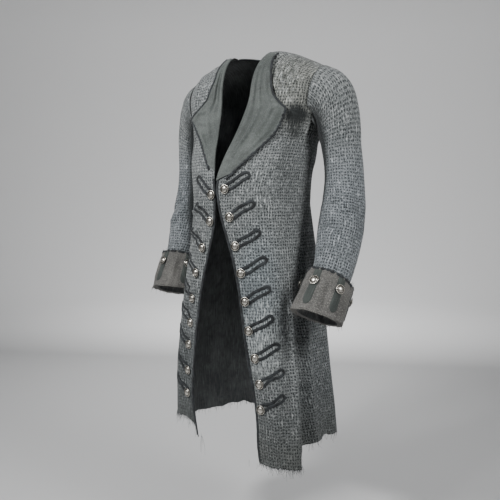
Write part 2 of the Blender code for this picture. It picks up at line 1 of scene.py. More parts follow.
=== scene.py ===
"""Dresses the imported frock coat: its cloth, braid, buttons, bindings and sewing, in a plain studio.

Metres. The origin is the middle of the neck opening, the wearer faces -Y and the wearer's left is
+X. "Level" is a height on the coat and "turn" an angle round it, 0 at the front and 180 at the back.
"""

import math

import bpy
import numpy as np
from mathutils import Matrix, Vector


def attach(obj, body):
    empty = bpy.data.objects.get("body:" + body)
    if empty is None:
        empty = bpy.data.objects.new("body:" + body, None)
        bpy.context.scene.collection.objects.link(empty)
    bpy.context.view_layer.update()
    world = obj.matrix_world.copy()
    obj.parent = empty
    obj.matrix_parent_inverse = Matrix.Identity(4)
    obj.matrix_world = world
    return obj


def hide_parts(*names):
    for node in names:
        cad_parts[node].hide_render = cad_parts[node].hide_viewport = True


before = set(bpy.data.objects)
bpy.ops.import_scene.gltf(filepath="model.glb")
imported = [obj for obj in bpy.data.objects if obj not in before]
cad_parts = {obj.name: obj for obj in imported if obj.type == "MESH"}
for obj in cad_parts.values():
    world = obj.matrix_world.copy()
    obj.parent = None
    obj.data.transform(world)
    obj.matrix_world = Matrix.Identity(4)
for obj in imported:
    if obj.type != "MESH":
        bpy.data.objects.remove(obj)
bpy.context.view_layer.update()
bpy.ops.object.select_all(action="DESELECT")

# The coat's own sizes, the same ones as in its CAD part
WALL = 0.0022
FACING_WALL = 0.0020
SEAM = 0.0003
SIDES = {"left": 1, "right": -1}
YOKE = -0.150
YOKE_SOFTNESS = 0.012
SIDE_NECK = 0.090
NECKLINE = 0.71
ARMPIT = -0.250
ARMPIT_REACH = 0.070
HEM_LEVEL = -1.200
HEM_REACH = -0.950
PLEAT_HALF_TURN = 8.5
HEAD_RISE = 0.017
SLEEVE_SEAT = 0.0010
BODY = (
    ("level", "left", "right", "front", "back", "middle", "square"),
    (-1.260, 0.270, 0.260, -0.214, 0.168, -0.045, 3.0),
    (-1.050, 0.250, 0.246, -0.226, 0.152, -0.045, 3.0),
    (-0.870, 0.230, 0.220, -0.234, 0.138, -0.045, 3.0),
    (-0.700, 0.208, 0.194, -0.236, 0.124, -0.045, 2.9),
    (-0.560, 0.190, 0.174, -0.236, 0.108, -0.045, 2.6),
    (-0.460, 0.180, 0.162, -0.239, 0.098, -0.045, 2.5),
    (-0.400, 0.182, 0.170, -0.238, 0.100, -0.040, 2.5),
    (-0.337, 0.188, 0.188, -0.220, 0.106, -0.030, 2.6),
    (-0.265, 0.200, 0.202, -0.186, 0.115, -0.015, 2.7),
    (-0.200, 0.222, 0.224, -0.158, 0.122, -0.004, 2.9),
    (-0.150, 0.246, 0.246, -0.140, 0.124, 0.002, 3.0),
)
FRONT_EDGE = (
    ("level", "left", "right"),
    (-1.260, 0.139, 0.078),
    (-1.200, 0.130, 0.094),
    (-1.120, 0.127, 0.110),
    (-1.050, 0.119, 0.112),
    (-0.972, 0.107, 0.102),
    (-0.900, 0.097, 0.088),
    (-0.814, 0.087, 0.074),
    (-0.720, 0.075, 0.055),
    (-0.630, 0.055, 0.032),
    (-0.572, 0.036, 0.015),
    (-0.515, 0.018, 0.003),
    (-0.460, 0.007, 0.001),
    (-0.420, 0.003, 0.001),
    (-0.380, 0.009, 0.008),
    (-0.337, 0.019, 0.019),
    (-0.265, 0.037, 0.033),
    (-0.160, 0.056, 0.050),
    (-0.090, 0.064, 0.060),
    (-0.040, 0.076, 0.074),
    (0.000, 0.090, 0.090),
)
SIDE_SEAM = (
    ("level", "turn", "pleat"),
    (-1.260, 74.0, 0.036),
    (-1.050, 73.0, 0.032),
    (-0.880, 72.0, 0.026),
    (-0.760, 73.5, 0.018),
    (-0.650, 78.0, 0.011),
    (-0.550, 86.0, 0.004),
    (-0.460, 93.0, 0.000),
    (-0.250, 94.0, 0.000),
)
ARMHOLE = (
    ("level", "front", "back"),
    (-0.250, 0.2040, 0.2040),
    (-0.225, 0.2080, 0.2060),
    (-0.195, 0.2130, 0.2080),
    (-0.165, 0.2190, 0.2130),
    (-0.120, 0.2250, 0.2210),
    (-0.070, 0.2300, 0.2280),
    (-0.030, 0.2340, 0.2330),
    (0.000, 0.2360, 0.2360),
)
BUTTONS = (
    ("left", "left_inset", "right", "right_inset"),
    (-0.426, 0.031, -0.442, 0.014),
    (-0.507, 0.033, -0.521, 0.018),
    (-0.591, 0.024, -0.601, 0.032),
    (-0.669, 0.021, -0.679, 0.038),
    (-0.751, 0.019, -0.760, 0.037),
    (-0.837, 0.019, -0.838, 0.037),
    (-0.917, 0.028, -0.910, 0.038),
    (-0.992, 0.031, -0.994, 0.030),
    (-1.068, 0.023, -1.067, 0.024),
)
FOLDS = (
    ("side", "start", "turn_up", "turn_low", "half_turn", "depth"),
    ("left", -0.50, 40.0, 47.0, 9.0, 0.007),
    ("left", -0.60, 24.0, 36.0, 5.0, -0.005),
    ("left", -0.52, 104.0, 100.0, 9.0, 0.016),
    ("left", -0.58, 122.0, 121.0, 8.0, -0.014),
    ("left", -0.55, 142.0, 141.0, 10.0, 0.015),
    ("left", -0.60, 162.0, 162.0, 8.0, -0.010),
    ("right", -0.50, 44.0, 50.0, 9.0, 0.008),
    ("right", -0.66, 30.0, 34.0, 6.0, -0.006),
    ("right", -0.52, 102.0, 99.0, 9.0, 0.018),
    ("right", -0.56, 119.0, 118.0, 8.0, -0.014),
    ("right", -0.58, 139.0, 140.0, 10.0, 0.014),
    ("right", -0.62, 160.0, 161.0, 8.0, -0.011),
)
HEMS = {
    "front_left": ((0.0, 0.30, 0.80, 0.92, 1.0), (-1.232, -1.240, -1.248, -1.236, -1.205)),
    "front_right": ((0.0, 0.10, 0.20, 0.60, 1.0), (-1.202, -1.160, -1.146, -1.150, -1.178)),
    "back_left": ((0.0, 0.40, 0.65, 0.85, 1.0), (-1.214, -1.206, -1.182, -1.172, -1.192)),
    "back_right": ((0.0, 0.40, 0.75, 1.0), (-1.212, -1.204, -1.216, -1.190)),
}
LAPELS = {
    "left": (
        ("level", "edge", "lift"),
        (-0.402, 0.034, 0.0030),
        (-0.378, 0.060, 0.0034),
        (-0.350, 0.086, 0.0040),
        (-0.310, 0.120, 0.0050),
        (-0.270, 0.147, 0.0060),
        (-0.230, 0.162, 0.0075),
        (-0.195, 0.171, 0.0090),
        (-0.180, 0.157, 0.0085),
        (-0.160, 0.140, 0.0075),
        (-0.130, 0.124, 0.0060),
        (-0.090, 0.112, 0.0048),
        (-0.045, 0.103, 0.0040),
    ),
    "right": (
        ("level", "edge", "lift"),
        (-0.372, 0.028, 0.0030),
        (-0.350, 0.042, 0.0034),
        (-0.324, 0.060, 0.0040),
        (-0.290, 0.088, 0.0050),
        (-0.255, 0.120, 0.0060),
        (-0.225, 0.150, 0.0075),
        (-0.203, 0.174, 0.0090),
        (-0.186, 0.150, 0.0085),
        (-0.165, 0.122, 0.0075),
        (-0.146, 0.104, 0.0060),
        (-0.110, 0.084, 0.0050),
        (-0.045, 0.086, 0.0046),
    ),
}
SHOULDER = (
    ("x", "y", "z", "wide", "deep", "lean", "swing"),
    (0.2710, 0.006, -0.222, 0.0730, 0.0670, 38.0, 0.0),
    (0.2780, 0.007, -0.258, 0.0640, 0.0630, 22.0, 0.0),
    (0.2830, 0.008, -0.302, 0.0580, 0.0590, 10.0, 0.0),
)
ARMS = {
    "left": (
        *SHOULDER[1:],
        (0.2910, 0.008, -0.360, 0.0570, 0.0580, 4.0, 3.0),
        (0.2960, 0.003, -0.420, 0.0590, 0.0610, 0.0, 8.0),
        (0.2990, -0.008, -0.480, 0.0640, 0.0660, 0.0, 15.0),
        (0.3010, -0.026, -0.540, 0.0660, 0.0690, -1.0, 20.0),
        (0.3030, -0.050, -0.600, 0.0630, 0.0670, -2.0, 25.0),
        (0.3040, -0.075, -0.650, 0.0570, 0.0610, -3.0, 29.0),
        (0.3030, -0.098, -0.690, 0.0540, 0.0570, -4.0, 32.0),
        (0.3000, -0.128, -0.738, 0.0550, 0.0570, -5.0, 30.0),
        (0.2960, -0.160, -0.786, 0.0570, 0.0590, -6.0, 27.0),
    ),
    "right": (
        *SHOULDER[1:],
        (0.2860, 0.010, -0.360, 0.0570, 0.0580, 4.0, 2.0),
        (0.2880, 0.009, -0.420, 0.0590, 0.0610, 0.0, 5.0),
        (0.2890, 0.003, -0.470, 0.0640, 0.0660, 0.0, 9.0),
        (0.2910, -0.010, -0.525, 0.0660, 0.0680, -1.0, 13.0),
        (0.2940, -0.026, -0.580, 0.0630, 0.0660, -2.0, 16.0),
        (0.2970, -0.041, -0.628, 0.0580, 0.0610, -3.0, 19.0),
        (0.2980, -0.055, -0.665, 0.0540, 0.0570, -4.0, 21.0),
        (0.2980, -0.075, -0.714, 0.0550, 0.0570, -5.0, 21.0),
        (0.2975, -0.094, -0.764, 0.0570, 0.0590, -6.0, 20.0),
    ),
}
CUFFS = {
    "left": (
        (0.3020, -0.096, -0.688, 0.0680, 0.0680, -5.0, 38.0),
        (0.3010, -0.117, -0.719, 0.0690, 0.0690, -5.0, 34.0),
        (0.2985, -0.139, -0.753, 0.0710, 0.0720, -5.0, 30.0),
        (0.2955, -0.163, -0.790, 0.0740, 0.0760, -5.0, 26.0),
    ),
    "right": (
        (0.2980, -0.052, -0.655, 0.0670, 0.0670, -4.0, 24.0),
        (0.2980, -0.065, -0.688, 0.0680, 0.0680, -4.0, 23.0),
        (0.2980, -0.081, -0.728, 0.0700, 0.0710, -5.0, 21.0),
        (0.2975, -0.097, -0.770, 0.0730, 0.0750, -5.0, 19.0),
    ),
}
CUFF_BUTTON_TURNS = {"left": (-158, -93, -33, 35), "right": (-152, -78, -16, 50)}
CUFF_BUTTON_PLACE = 0.34
CUFF_SEAT = 0.0012
TAB_HALF_ANGLE = 9.5
TAB_PLACES = (0.20, 0.86)
TAB_RISE = 0.0016
LOOP_LENGTH = 0.083
LOOP_HALF_WIDTH = 0.0088
LOOP_RISE = {"left": 31.0, "right": 38.0}
BUTTON_SEAT = 0.0005

# Where each side's uneven cloth and worn edges start in their patterns
SEEDS = {
    "left": {"body": 1.0, "sleeve": 3.1, "cuff": 6.1, "cuff_wear": 1.7},
    "right": {"body": 4.2, "sleeve": 5.7, "cuff": 7.4, "cuff_wear": 2.9},
}
# Creases of the body, from one turn and level to another: how far the middle bows to one side,
# half-width, and height (a trough is negative)
BODY_CREASES = (
    ("side", "turn", "level", "turn_end", "level_end", "bow", "half", "height"),
    ("left", 43, -0.012, 36, -0.120, 0.003, 0.0058, 0.0056),
    ("left", 61, -0.012, 58, -0.150, 0.002, 0.0058, 0.0060),
    ("left", 46, -0.020, 40, -0.170, 0.004, 0.007, -0.0045),
    ("left", 51, -0.010, 47, -0.200, 0.002, 0.006, 0.0039),
    ("left", 57, -0.020, 53, -0.180, 0.003, 0.007, -0.0051),
    ("left", 64, -0.030, 61, -0.230, 0.000, 0.009, 0.0033),
    ("left", 75, -0.140, 77, -0.300, 0.004, 0.009, 0.0075),
    ("left", 82, -0.170, 83, -0.330, 0.003, 0.008, -0.0075),
    ("left", 68, -0.250, 60, -0.440, 0.010, 0.016, -0.0051),
    ("left", 84, -0.300, 72, -0.520, -0.008, 0.013, 0.0045),
    ("left", 30, -0.430, 62, -0.470, 0.006, 0.012, -0.0033),
    ("left", 34, -0.640, 40, -1.180, 0.008, 0.020, -0.0060),
    ("left", 58, -0.560, 61, -1.230, -0.006, 0.018, -0.0066),
    ("left", 52, -0.760, 54, -1.240, 0.004, 0.014, 0.0054),
    ("left", 66, -0.700, 67, -1.240, 0.004, 0.013, 0.0060),
    ("left", 88, -0.620, 86, -1.220, 0.006, 0.014, -0.0060),
    ("left", 112, -0.540, 111, -1.200, 0.004, 0.015, -0.0054),
    ("left", 133, -0.480, 131, -1.180, -0.006, 0.016, 0.0060),
    ("left", 152, -0.560, 152, -1.200, 0.005, 0.014, -0.0051),
    ("left", 118, -0.230, 104, -0.420, 0.010, 0.014, -0.0054),
    ("left", 128, -0.190, 118, -0.380, 0.006, 0.012, 0.0042),
    ("left", 150, -0.130, 160, -0.300, 0.006, 0.018, -0.0036),
    ("left", 108, -0.470, 165, -0.440, 0.006, 0.010, -0.0036),
    ("right", 44, -0.020, 38, -0.160, 0.004, 0.008, -0.0036),
    ("right", 56, -0.030, 52, -0.200, 0.003, 0.008, 0.0036),
    ("right", 74, -0.150, 78, -0.310, 0.004, 0.010, 0.0066),
    ("right", 82, -0.180, 84, -0.340, 0.002, 0.009, -0.0069),
    ("right", 64, -0.260, 54, -0.450, 0.010, 0.016, -0.0051),
    ("right", 40, -0.460, 66, -0.500, 0.005, 0.011, -0.0036),
    ("right", 26, -0.610, 48, -0.640, 0.003, 0.007, -0.0039),
    ("right", 24, -0.635, 44, -0.655, 0.002, 0.006, 0.0033),
    ("right", 27, -0.660, 47, -0.672, 0.002, 0.006, -0.0036),
    ("right", 26, -0.700, 42, -0.716, 0.002, 0.007, 0.0027),
    ("right", 12, -0.465, 40, -0.500, 0.004, 0.0075, 0.0085),
    ("right", 14, -0.540, 44, -0.560, 0.003, 0.0068, 0.0085),
    ("right", 18, -0.570, 46, -0.600, -0.003, 0.0070, -0.0080),
    ("right", 22, -0.730, 44, -0.742, 0.003, 0.0070, 0.0080),
    ("right", 24, -0.785, 46, -0.805, 0.003, 0.0080, -0.0070),
    ("right", 26, -0.870, 46, -0.880, 0.003, 0.0080, 0.0046),
    ("right", 36, -0.640, 42, -1.140, 0.006, 0.018, -0.0060),
    ("right", 56, -0.580, 60, -1.150, -0.006, 0.016, 0.0060),
    ("right", 66, -0.640, 67, -1.170, 0.004, 0.014, -0.0054),
    ("right", 90, -0.600, 88, -1.190, 0.006, 0.014, 0.0054),
    ("right", 110, -0.560, 109, -1.200, 0.004, 0.014, -0.0060),
    ("right", 130, -0.500, 128, -1.200, -0.005, 0.016, 0.0054),
    ("right", 150, -0.580, 151, -1.200, 0.005, 0.014, -0.0051),
    ("right", 116, -0.220, 106, -0.430, 0.010, 0.014, -0.0051),
    ("right", 148, -0.140, 158, -0.300, 0.006, 0.018, -0.0036),
    ("right", 108, -0.460, 168, -0.430, 0.006, 0.010, -0.0033),
)
# Creases of the sleeves, from one turn and distance down the sleeve to another. Turn 0 is the
# outside of the arm and 90 its front
SLEEVE_CREASES = (
    ("side", "turn", "down", "turn_end", "down_end", "bow", "half", "height"),
    ("left", 60, 0.030, 78, 0.330, 0.006, 0.012, -0.0051),
    ("left", 20, 0.045, 62, 0.075, 0.004, 0.010, -0.0045),
    ("left", 52, 0.060, 60, 0.240, 0.004, 0.010, 0.0042),
    ("left", 112, 0.330, 20, 0.395, 0.010, 0.010, -0.0060),
    ("left", 116, 0.370, 36, 0.440, 0.008, 0.010, 0.0054),
    ("left", 110, 0.410, 30, 0.480, 0.008, 0.009, -0.0054),
    ("left", 96, 0.290, 26, 0.330, 0.006, 0.010, 0.0039),
    ("left", 24, 0.200, 10, 0.420, 0.008, 0.014, -0.0039),
    ("left", 40, 0.470, 46, 0.640, 0.004, 0.010, -0.0045),
    ("left", 8, 0.500, 14, 0.650, 0.003, 0.009, 0.0036),
    ("left", -30, 0.420, -60, 0.560, 0.006, 0.012, -0.0042),
    ("left", -50, 0.060, -70, 0.260, 0.008, 0.014, -0.0048),
    ("left", -100, 0.120, -140, 0.330, 0.008, 0.012, 0.0045),
    ("left", 150, 0.140, 200, 0.190, 0.006, 0.010, -0.0054),
    ("left", 140, 0.330, 210, 0.400, 0.006, 0.011, -0.0060),
    ("right", 64, 0.030, 80, 0.330, 0.006, 0.012, -0.0048),
    ("right", 30, 0.050, 70, 0.080, 0.004, 0.010, -0.0039),
    ("right", 112, 0.320, 24, 0.385, 0.010, 0.010, -0.0057),
    ("right", 114, 0.360, 34, 0.425, 0.008, 0.010, 0.0051),
    ("right", 108, 0.400, 30, 0.460, 0.008, 0.009, -0.0051),
    ("right", 30, 0.180, 20, 0.420, 0.008, 0.014, -0.0039),
    ("right", 44, 0.450, 50, 0.610, 0.004, 0.010, -0.0045),
    ("right", -34, 0.400, -60, 0.540, 0.006, 0.012, -0.0042),
    ("right", -54, 0.060, -74, 0.260, 0.008, 0.014, -0.0048),
    ("right", -100, 0.120, -140, 0.330, 0.008, 0.012, 0.0042),
    ("right", 146, 0.320, 212, 0.390, 0.006, 0.011, -0.0057),
)
# Creases of the cuffs, turn 180 being the outside of the arm, and down the cuff
CUFF_CREASES = (
    ("side", "turn", "down", "turn_end", "down_end", "bow", "half", "height"),
    ("left", 112, 0.012, 106, 0.108, 0.004, 0.0070, 0.0040),
    ("left", 120, 0.034, 124, 0.112, 0.003, 0.0060, -0.0034),
    ("left", 64, 0.020, 60, 0.110, 0.004, 0.0080, -0.0036),
    ("left", 178, 0.010, 182, 0.100, 0.004, 0.0070, 0.0044),
    ("left", 188, 0.020, 190, 0.110, 0.002, 0.0060, -0.0036),
    ("left", 170, 0.060, 166, 0.114, 0.003, 0.0060, -0.0030),
    ("left", 236, 0.010, 244, 0.104, 0.004, 0.0070, 0.0040),
    ("left", 290, 0.020, 300, 0.110, 0.004, 0.0090, -0.0036),
    ("left", 330, 0.010, 326, 0.110, 0.004, 0.0080, 0.0034),
    ("right", 60, 0.010, 56, 0.100, 0.004, 0.0070, 0.0040),
    ("right", 126, 0.012, 132, 0.108, 0.004, 0.0070, 0.0036),
    ("right", 140, 0.040, 142, 0.112, 0.003, 0.0060, -0.0030),
    ("right", 192, 0.020, 196, 0.110, 0.004, 0.0080, 0.0040),
    ("right", 206, 0.030, 204, 0.110, 0.003, 0.0060, -0.0034),
    ("right", 268, 0.020, 274, 0.110, 0.004, 0.0080, 0.0036),
    ("right", 320, 0.010, 328, 0.110, 0.004, 0.0090, -0.0036),
)
# Creases of the lapels, from one place across (0 the fold, 1 the free edge) and level to another
LAPEL_CREASES = (
    ("side", "across", "level", "across_end", "level_end", "bow", "half", "height"),
    ("left", 0.28, -0.050, 0.16, -0.330, 0.006, 0.0052, 0.0062),
    ("left", 0.52, -0.070, 0.34, -0.370, 0.005, 0.0054, 0.0072),
    ("left", 0.76, -0.080, 0.58, -0.290, -0.004, 0.0058, 0.0062),
    ("left", 0.88, -0.160, 0.80, -0.340, 0.003, 0.0070, 0.0062),
    ("left", 0.95, -0.185, 0.55, -0.215, 0.004, 0.0070, 0.0036),
    ("right", 0.26, -0.055, 0.18, -0.300, 0.005, 0.0052, 0.0062),
    ("right", 0.52, -0.060, 0.36, -0.320, 0.005, 0.0054, 0.0068),
    ("right", 0.92, -0.196, 0.36, -0.186, 0.003, 0.0055, 0.0050),
    ("right", 0.90, -0.216, 0.40, -0.232, 0.003, 0.0055, 0.0054),
    ("right", 0.74, -0.236, 0.62, -0.320, -0.004, 0.0060, 0.0056),
)


# The coat's surfaces

def smooth(places, values, at):
    """Smooth reading of rows of values between their places."""
    places, values = np.asarray(places, float), np.asarray(values, float)
    at = np.clip(at, places[0], places[-1])
    i = np.clip(np.searchsorted(places, at) - 1, 0, len(places) - 2)
    slopes = np.gradient(values, places, axis=0)
    shape = np.shape(at) + (1,) * (values.ndim - 1)
    span = np.reshape(places[i + 1] - places[i], shape)
    t = np.reshape(at - places[i], shape) / span
    low = values[i] * (1 + 2 * t) * (1 - t) ** 2 + slopes[i] * span * t * (1 - t) ** 2
    high = values[i + 1] * t * t * (3 - 2 * t) - slopes[i + 1] * span * t * t * (1 - t)
    return low + high


def read(table, name, at):
    """A named column of a table, at values of its first column."""
    rows = np.array(table[1:], float)
    return smooth(rows[:, 0], rows[:, table[0].index(name)], at)


def rows_of(table, side=None):
    """The rows of a table as dicts, those of one side if it is named."""
    rows = [dict(zip(table[0], row)) for row in table[1:]]
    return [row for row in rows if side is None or row["side"] == side]


def ease(value):
    t = np.clip(value, 0, 1)
    return t * t * (3 - 2 * t)


def bump(distance, half):
    t = np.clip(np.abs(distance) / half, 0, 1)
    return (1 - t * t) ** 2


def unit(ways):
    """Directions, each made one long."""
    return ways / np.linalg.norm(ways, axis=-1, keepdims=True)


def ridge_height(x):
    """The top of the shoulder."""
    x = np.abs(x)
    neck = 0.012 * (1 - (x / SIDE_NECK) ** 2)
    return np.where(x < SIDE_NECK, neck, -0.062 * (np.maximum(x - SIDE_NECK, 0) / 0.146) ** 1.25)


def body(side, turn, level):
    """Points in the middle of the body's cloth, before its creases."""
    turn, level = np.broadcast_arrays(np.asarray(turn, float), np.asarray(level, float))
    over = level - YOKE
    low = YOKE - (np.sqrt(over**2 + YOKE_SOFTNESS**2) - over) / 2
    wide, front, back, middle, square = (
        read(BODY, name, low) for name in (side, "front", "back", "middle", "square")
    )
    across, along = np.sin(np.radians(turn)), np.cos(np.radians(turn))
    deep = np.where(along > 0, middle - front, back - middle)
    radius = ((np.abs(across) / wide) ** square + (np.abs(along) / deep) ** square) ** (-1 / square)
    seam, pleat = (read(SIDE_SEAM, name, level) for name in ("turn", "pleat"))
    radius = radius - pleat * bump(turn - seam, PLEAT_HALF_TURN)
    for fold in rows_of(FOLDS, side):
        down = np.maximum(0, (fold["start"] - level) / (fold["start"] - HEM_LEVEL))
        place = fold["turn_up"] + (fold["turn_low"] - fold["turn_up"]) * down
        radius = radius + fold["depth"] * ease(down) * bump(turn - place, fold["half_turn"])
    x = radius * across
    climb = np.radians(90 * np.maximum(0, level - YOKE) / -YOKE)
    z = np.where(level <= YOKE, level, YOKE + (ridge_height(x) - YOKE) * np.sin(climb))
    y = (middle - radius * along) * np.cos(climb)
    return np.stack([SIDES[side] * x, y, z], axis=-1)


def body_normal(side, turn, level):
    across = body(side, turn + 0.25, level) - body(side, turn - 0.25, level)
    up = body(side, turn, level + 0.0015) - body(side, turn, level - 0.0015)
    return unit(np.cross(across, up) * SIDES[side])


def turn_at(side, x, level, back=False):
    """The turn at which the body is x from its middle plane."""
    x, level = np.broadcast_arrays(np.asarray(x, float), np.asarray(level, float))
    low = np.full(x.shape, 90.0 if back else 0.0)
    high = np.full(x.shape, 180.0 if back else 90.0)
    for _ in range(26):
        turn = (low + high) / 2
        outer = (np.abs(body(side, turn, level)[..., 0]) > x) != back
        high, low = np.where(outer, turn, high), np.where(outer, low, turn)
    return (low + high) / 2


def side_turn(side, level, half):
    """The turn at which a front or a back ends, at the side seam or the armhole."""
    seam = read(SIDE_SEAM, "turn", level)
    edge = turn_at(side, read(ARMHOLE, half, level), level, back=half == "back")
    rise = np.clip((level - ARMPIT) / ARMPIT_REACH, 0, 1) ** 0.55
    return np.where(level <= ARMPIT, seam, seam + (edge - seam) * rise)


# The share of a crease's length over which each end rises
CREASE_ENDS = 0.32


def crease_height(rows, first, second, scale, names):
    """How far a table's creases lift the cloth at points given by two coordinates in metres."""
    total = np.zeros(np.shape(first))
    for row in rows:
        start = np.array((row[names[0]] * scale, row[names[1]]))
        end = np.array((row[names[0] + "_end"] * scale, row[names[1] + "_end"]))
        way = end - start
        length = np.linalg.norm(way)
        way = way / length
        gap = first - start[0], second - start[1]
        along = (gap[0] * way[0] + gap[1] * way[1]) / length
        aside = gap[0] * way[1] - gap[1] * way[0]
        inside = np.clip(along, 0, 1)
        aside = aside - row["bow"] * 4 * inside * (1 - inside)
        ends = ease(along / CREASE_ENDS) * ease((1 - along) / CREASE_ENDS)
        total += row["height"] * ends * np.exp(-((aside / row["half"]) ** 2))
    return total


# What a degree is long, round the body, a sleeve and a cuff
TURN_METRES = 0.0037
ARM_TURN_METRES = 0.00105
CUFF_TURN_METRES = 0.0012
BODY_RIPPLE = 0.0007


def ripple(first, second, seed, height):
    """Small unevenness of worn cloth."""
    total = 0
    for k in range(7):
        way = 2.4 * k + seed
        size = 34 + 19 * k
        run = first * math.cos(way) * 1.3 + second * math.sin(way) * 0.7
        total = total + np.sin(run * size + 1.7 * seed * (k + 1)) / (1 + 0.55 * k)
    return total * height / 2.4


def lying(side, turn, level, height=0.0):
    """Points on the creased body, a height above the middle of its cloth, and its normals there."""
    creases, run = rows_of(BODY_CREASES, side), turn * TURN_METRES
    lift = crease_height(creases, run, level, TURN_METRES, ("turn", "level"))
    lift = lift + ripple(run, level, SEEDS[side]["body"], BODY_RIPPLE)
    normal = body_normal(side, turn, level)
    return body(side, turn, level) + (lift + height)[..., None] * normal, normal


def on_front(side, x, level, height=0.0):
    """The same, at a distance from the body's middle plane."""
    x, level, height = np.broadcast_arrays(*(np.asarray(v, float) for v in (x, level, height)))
    return lying(side, turn_at(side, x, level), level, height)


def ring(row, side, turn, grow=0.0):
    """Points of an arm's ring, given by a row or by one row for each point."""
    x, y, z, wide, deep, lean, swing = np.moveaxis(np.asarray(row, float), -1, 0)
    lean, swing, angle = np.radians(lean), np.radians(swing), np.radians(turn)
    none = np.zeros_like(lean)
    outward = np.stack([np.cos(lean), none, np.sin(lean)], axis=-1)
    forward = np.stack([none, -np.cos(swing), np.sin(swing)], axis=-1)
    centre = np.stack([x, y, z], axis=-1)
    out = ((wide + grow) * np.cos(angle))[..., None] * outward
    fore = ((deep + grow) * np.sin(angle))[..., None] * forward
    return (centre + out + fore) * (SIDES[side], 1, 1)


def armhole_point(side, turn):
    """Where a sleeve's column starts, over the armhole's edge."""
    points = []
    for angle in np.radians(turn):
        half = "front" if math.sin(angle) >= 0 else "back"
        top = ridge_height(read(ARMHOLE, half, 0.0))
        z = (top + ARMPIT) / 2 + (top - ARMPIT) / 2 * math.cos(angle)
        level = z
        if z > YOKE:
            level = YOKE * (1 - math.degrees(math.asin(min(1, (z - YOKE) / (top - YOKE)))) / 90)
        place = side_turn(side, np.array(level), half)
        rest = WALL + SLEEVE_SEAT
        points.append(body(side, place, level) + rest * body_normal(side, place, level))
    return np.array(points)


# Making meshes

def tube_normals(points):
    """The normals of a grid whose rows run all round."""
    across = np.roll(points, -1, axis=1) - np.roll(points, 1, axis=1)
    return unit(np.cross(across, np.gradient(points, axis=0)))


def lengths(points, axis):
    """How far each point of a grid lies along its row or column of cloth, in metres."""
    steps = np.linalg.norm(np.diff(points, axis=axis), axis=2)
    start = np.zeros_like(np.take(steps, [0], axis=axis))
    return np.concatenate([start, np.cumsum(steps, axis=axis)], axis=axis)


def run_of(points):
    """How far each point lies along a line."""
    return np.concatenate([[0], np.cumsum(np.linalg.norm(np.diff(points, axis=0), axis=1))])


def flat_of(across, down):
    """Each point's place on the cut cloth, laid flat."""
    return np.stack(np.broadcast_arrays(across, down), axis=2)


def select_only(piece):
    bpy.ops.object.select_all(action="DESELECT")
    piece.select_set(True)
    bpy.context.view_layer.objects.active = piece


def laid_grid(name, points, flat, finishes):
    """A grid, put in place point by point. flat gives each point's place on the cut cloth."""
    rows, columns = points.shape[:2]
    bpy.ops.object.select_all(action="DESELECT")
    bpy.ops.mesh.primitive_grid_add(x_subdivisions=columns - 1, y_subdivisions=rows - 1, size=2)
    piece = bpy.context.object
    piece.name = piece.data.name = name
    mesh = piece.data
    mesh.vertices.foreach_set("co", points.reshape(-1).astype(np.float32))
    corner = np.zeros(len(mesh.loops), np.int32)
    mesh.loops.foreach_get("vertex_index", corner)
    mesh.uv_layers[0].name = "cloth"
    laid = flat.reshape(-1, 2)[corner].reshape(-1).astype(np.float32)
    mesh.uv_layers[0].uv.foreach_set("vector", laid)
    for finish in finishes:
        mesh.materials.append(finish)
    mesh.update()
    return piece


def select_all():
    bpy.ops.mesh.select_all(action="SELECT")


def merge_doubles():
    bpy.ops.mesh.remove_doubles(threshold=1e-6)


def face_outward():
    bpy.ops.mesh.normals_make_consistent(inside=False)


def edit(piece, *steps):
    """Runs edit-mode steps on all of a piece."""
    select_only(piece)
    bpy.ops.object.mode_set(mode="EDIT")
    select_all()
    for step in steps:
        step()
    bpy.ops.object.mode_set(mode="OBJECT")


def apply_all(piece):
    select_only(piece)
    for modifier in list(piece.modifiers):
        bpy.ops.object.modifier_apply(modifier=modifier.name)
    bpy.ops.object.shade_smooth_by_angle(angle=math.radians(45))


def cloth(name, points, flat, finishes, wall, outward):
    """A sheet of cloth with its thickness. outward is the way that its middle point faces."""
    piece = laid_grid(name, points, flat, finishes)
    middle = piece.data.polygons[len(piece.data.polygons) // 2]
    if middle.normal.dot(outward) < 0:
        edit(piece, bpy.ops.mesh.flip_normals)
    thick = piece.modifiers.new("cloth thickness", "SOLIDIFY")
    thick.thickness = wall
    thick.offset = 0
    thick.material_offset = 1
    thick.material_offset_rim = 2
    apply_all(piece)
    return piece


def mirrored(half):
    """An outline from its right half, drawn from the edge to the middle."""
    return [*half, *((-aside, up) for aside, up in reversed(half))]


def oval(half_width, half_height, sides):
    turns = np.radians(np.arange(0, 360, 360 / sides))
    return [(half_width * math.cos(t), half_height * math.sin(t)) for t in turns]


def swept(name, points, normals, outline, start=0.0):
    """A braid trim along a line: its outline, as places aside and up, carried along the line.

    start is the place along the braid where the trim is cut from it.
    """
    aside = np.cross(unit(np.gradient(points, axis=0)), normals)
    outline = np.array([*outline, outline[0]])
    out, up = outline[None, :, :1], outline[None, :, 1:]
    grid = points[:, None] + out * aside[:, None] + up * normals[:, None]
    spread = flat_of(run_of(points)[:, None] + start, run_of(outline)[None])
    piece = laid_grid(name, grid, spread, [FINISH["braid"]])
    edit(piece, merge_doubles, lambda: bpy.ops.mesh.fill_holes(sides=64), select_all, face_outward)
    apply_all(piece)
    return piece


def settle(piece, slot, *nodes):
    """Ties a finished piece to the frame."""
    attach(piece, "root")
    if nodes:
        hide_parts(*nodes)
    return piece


# Finishes

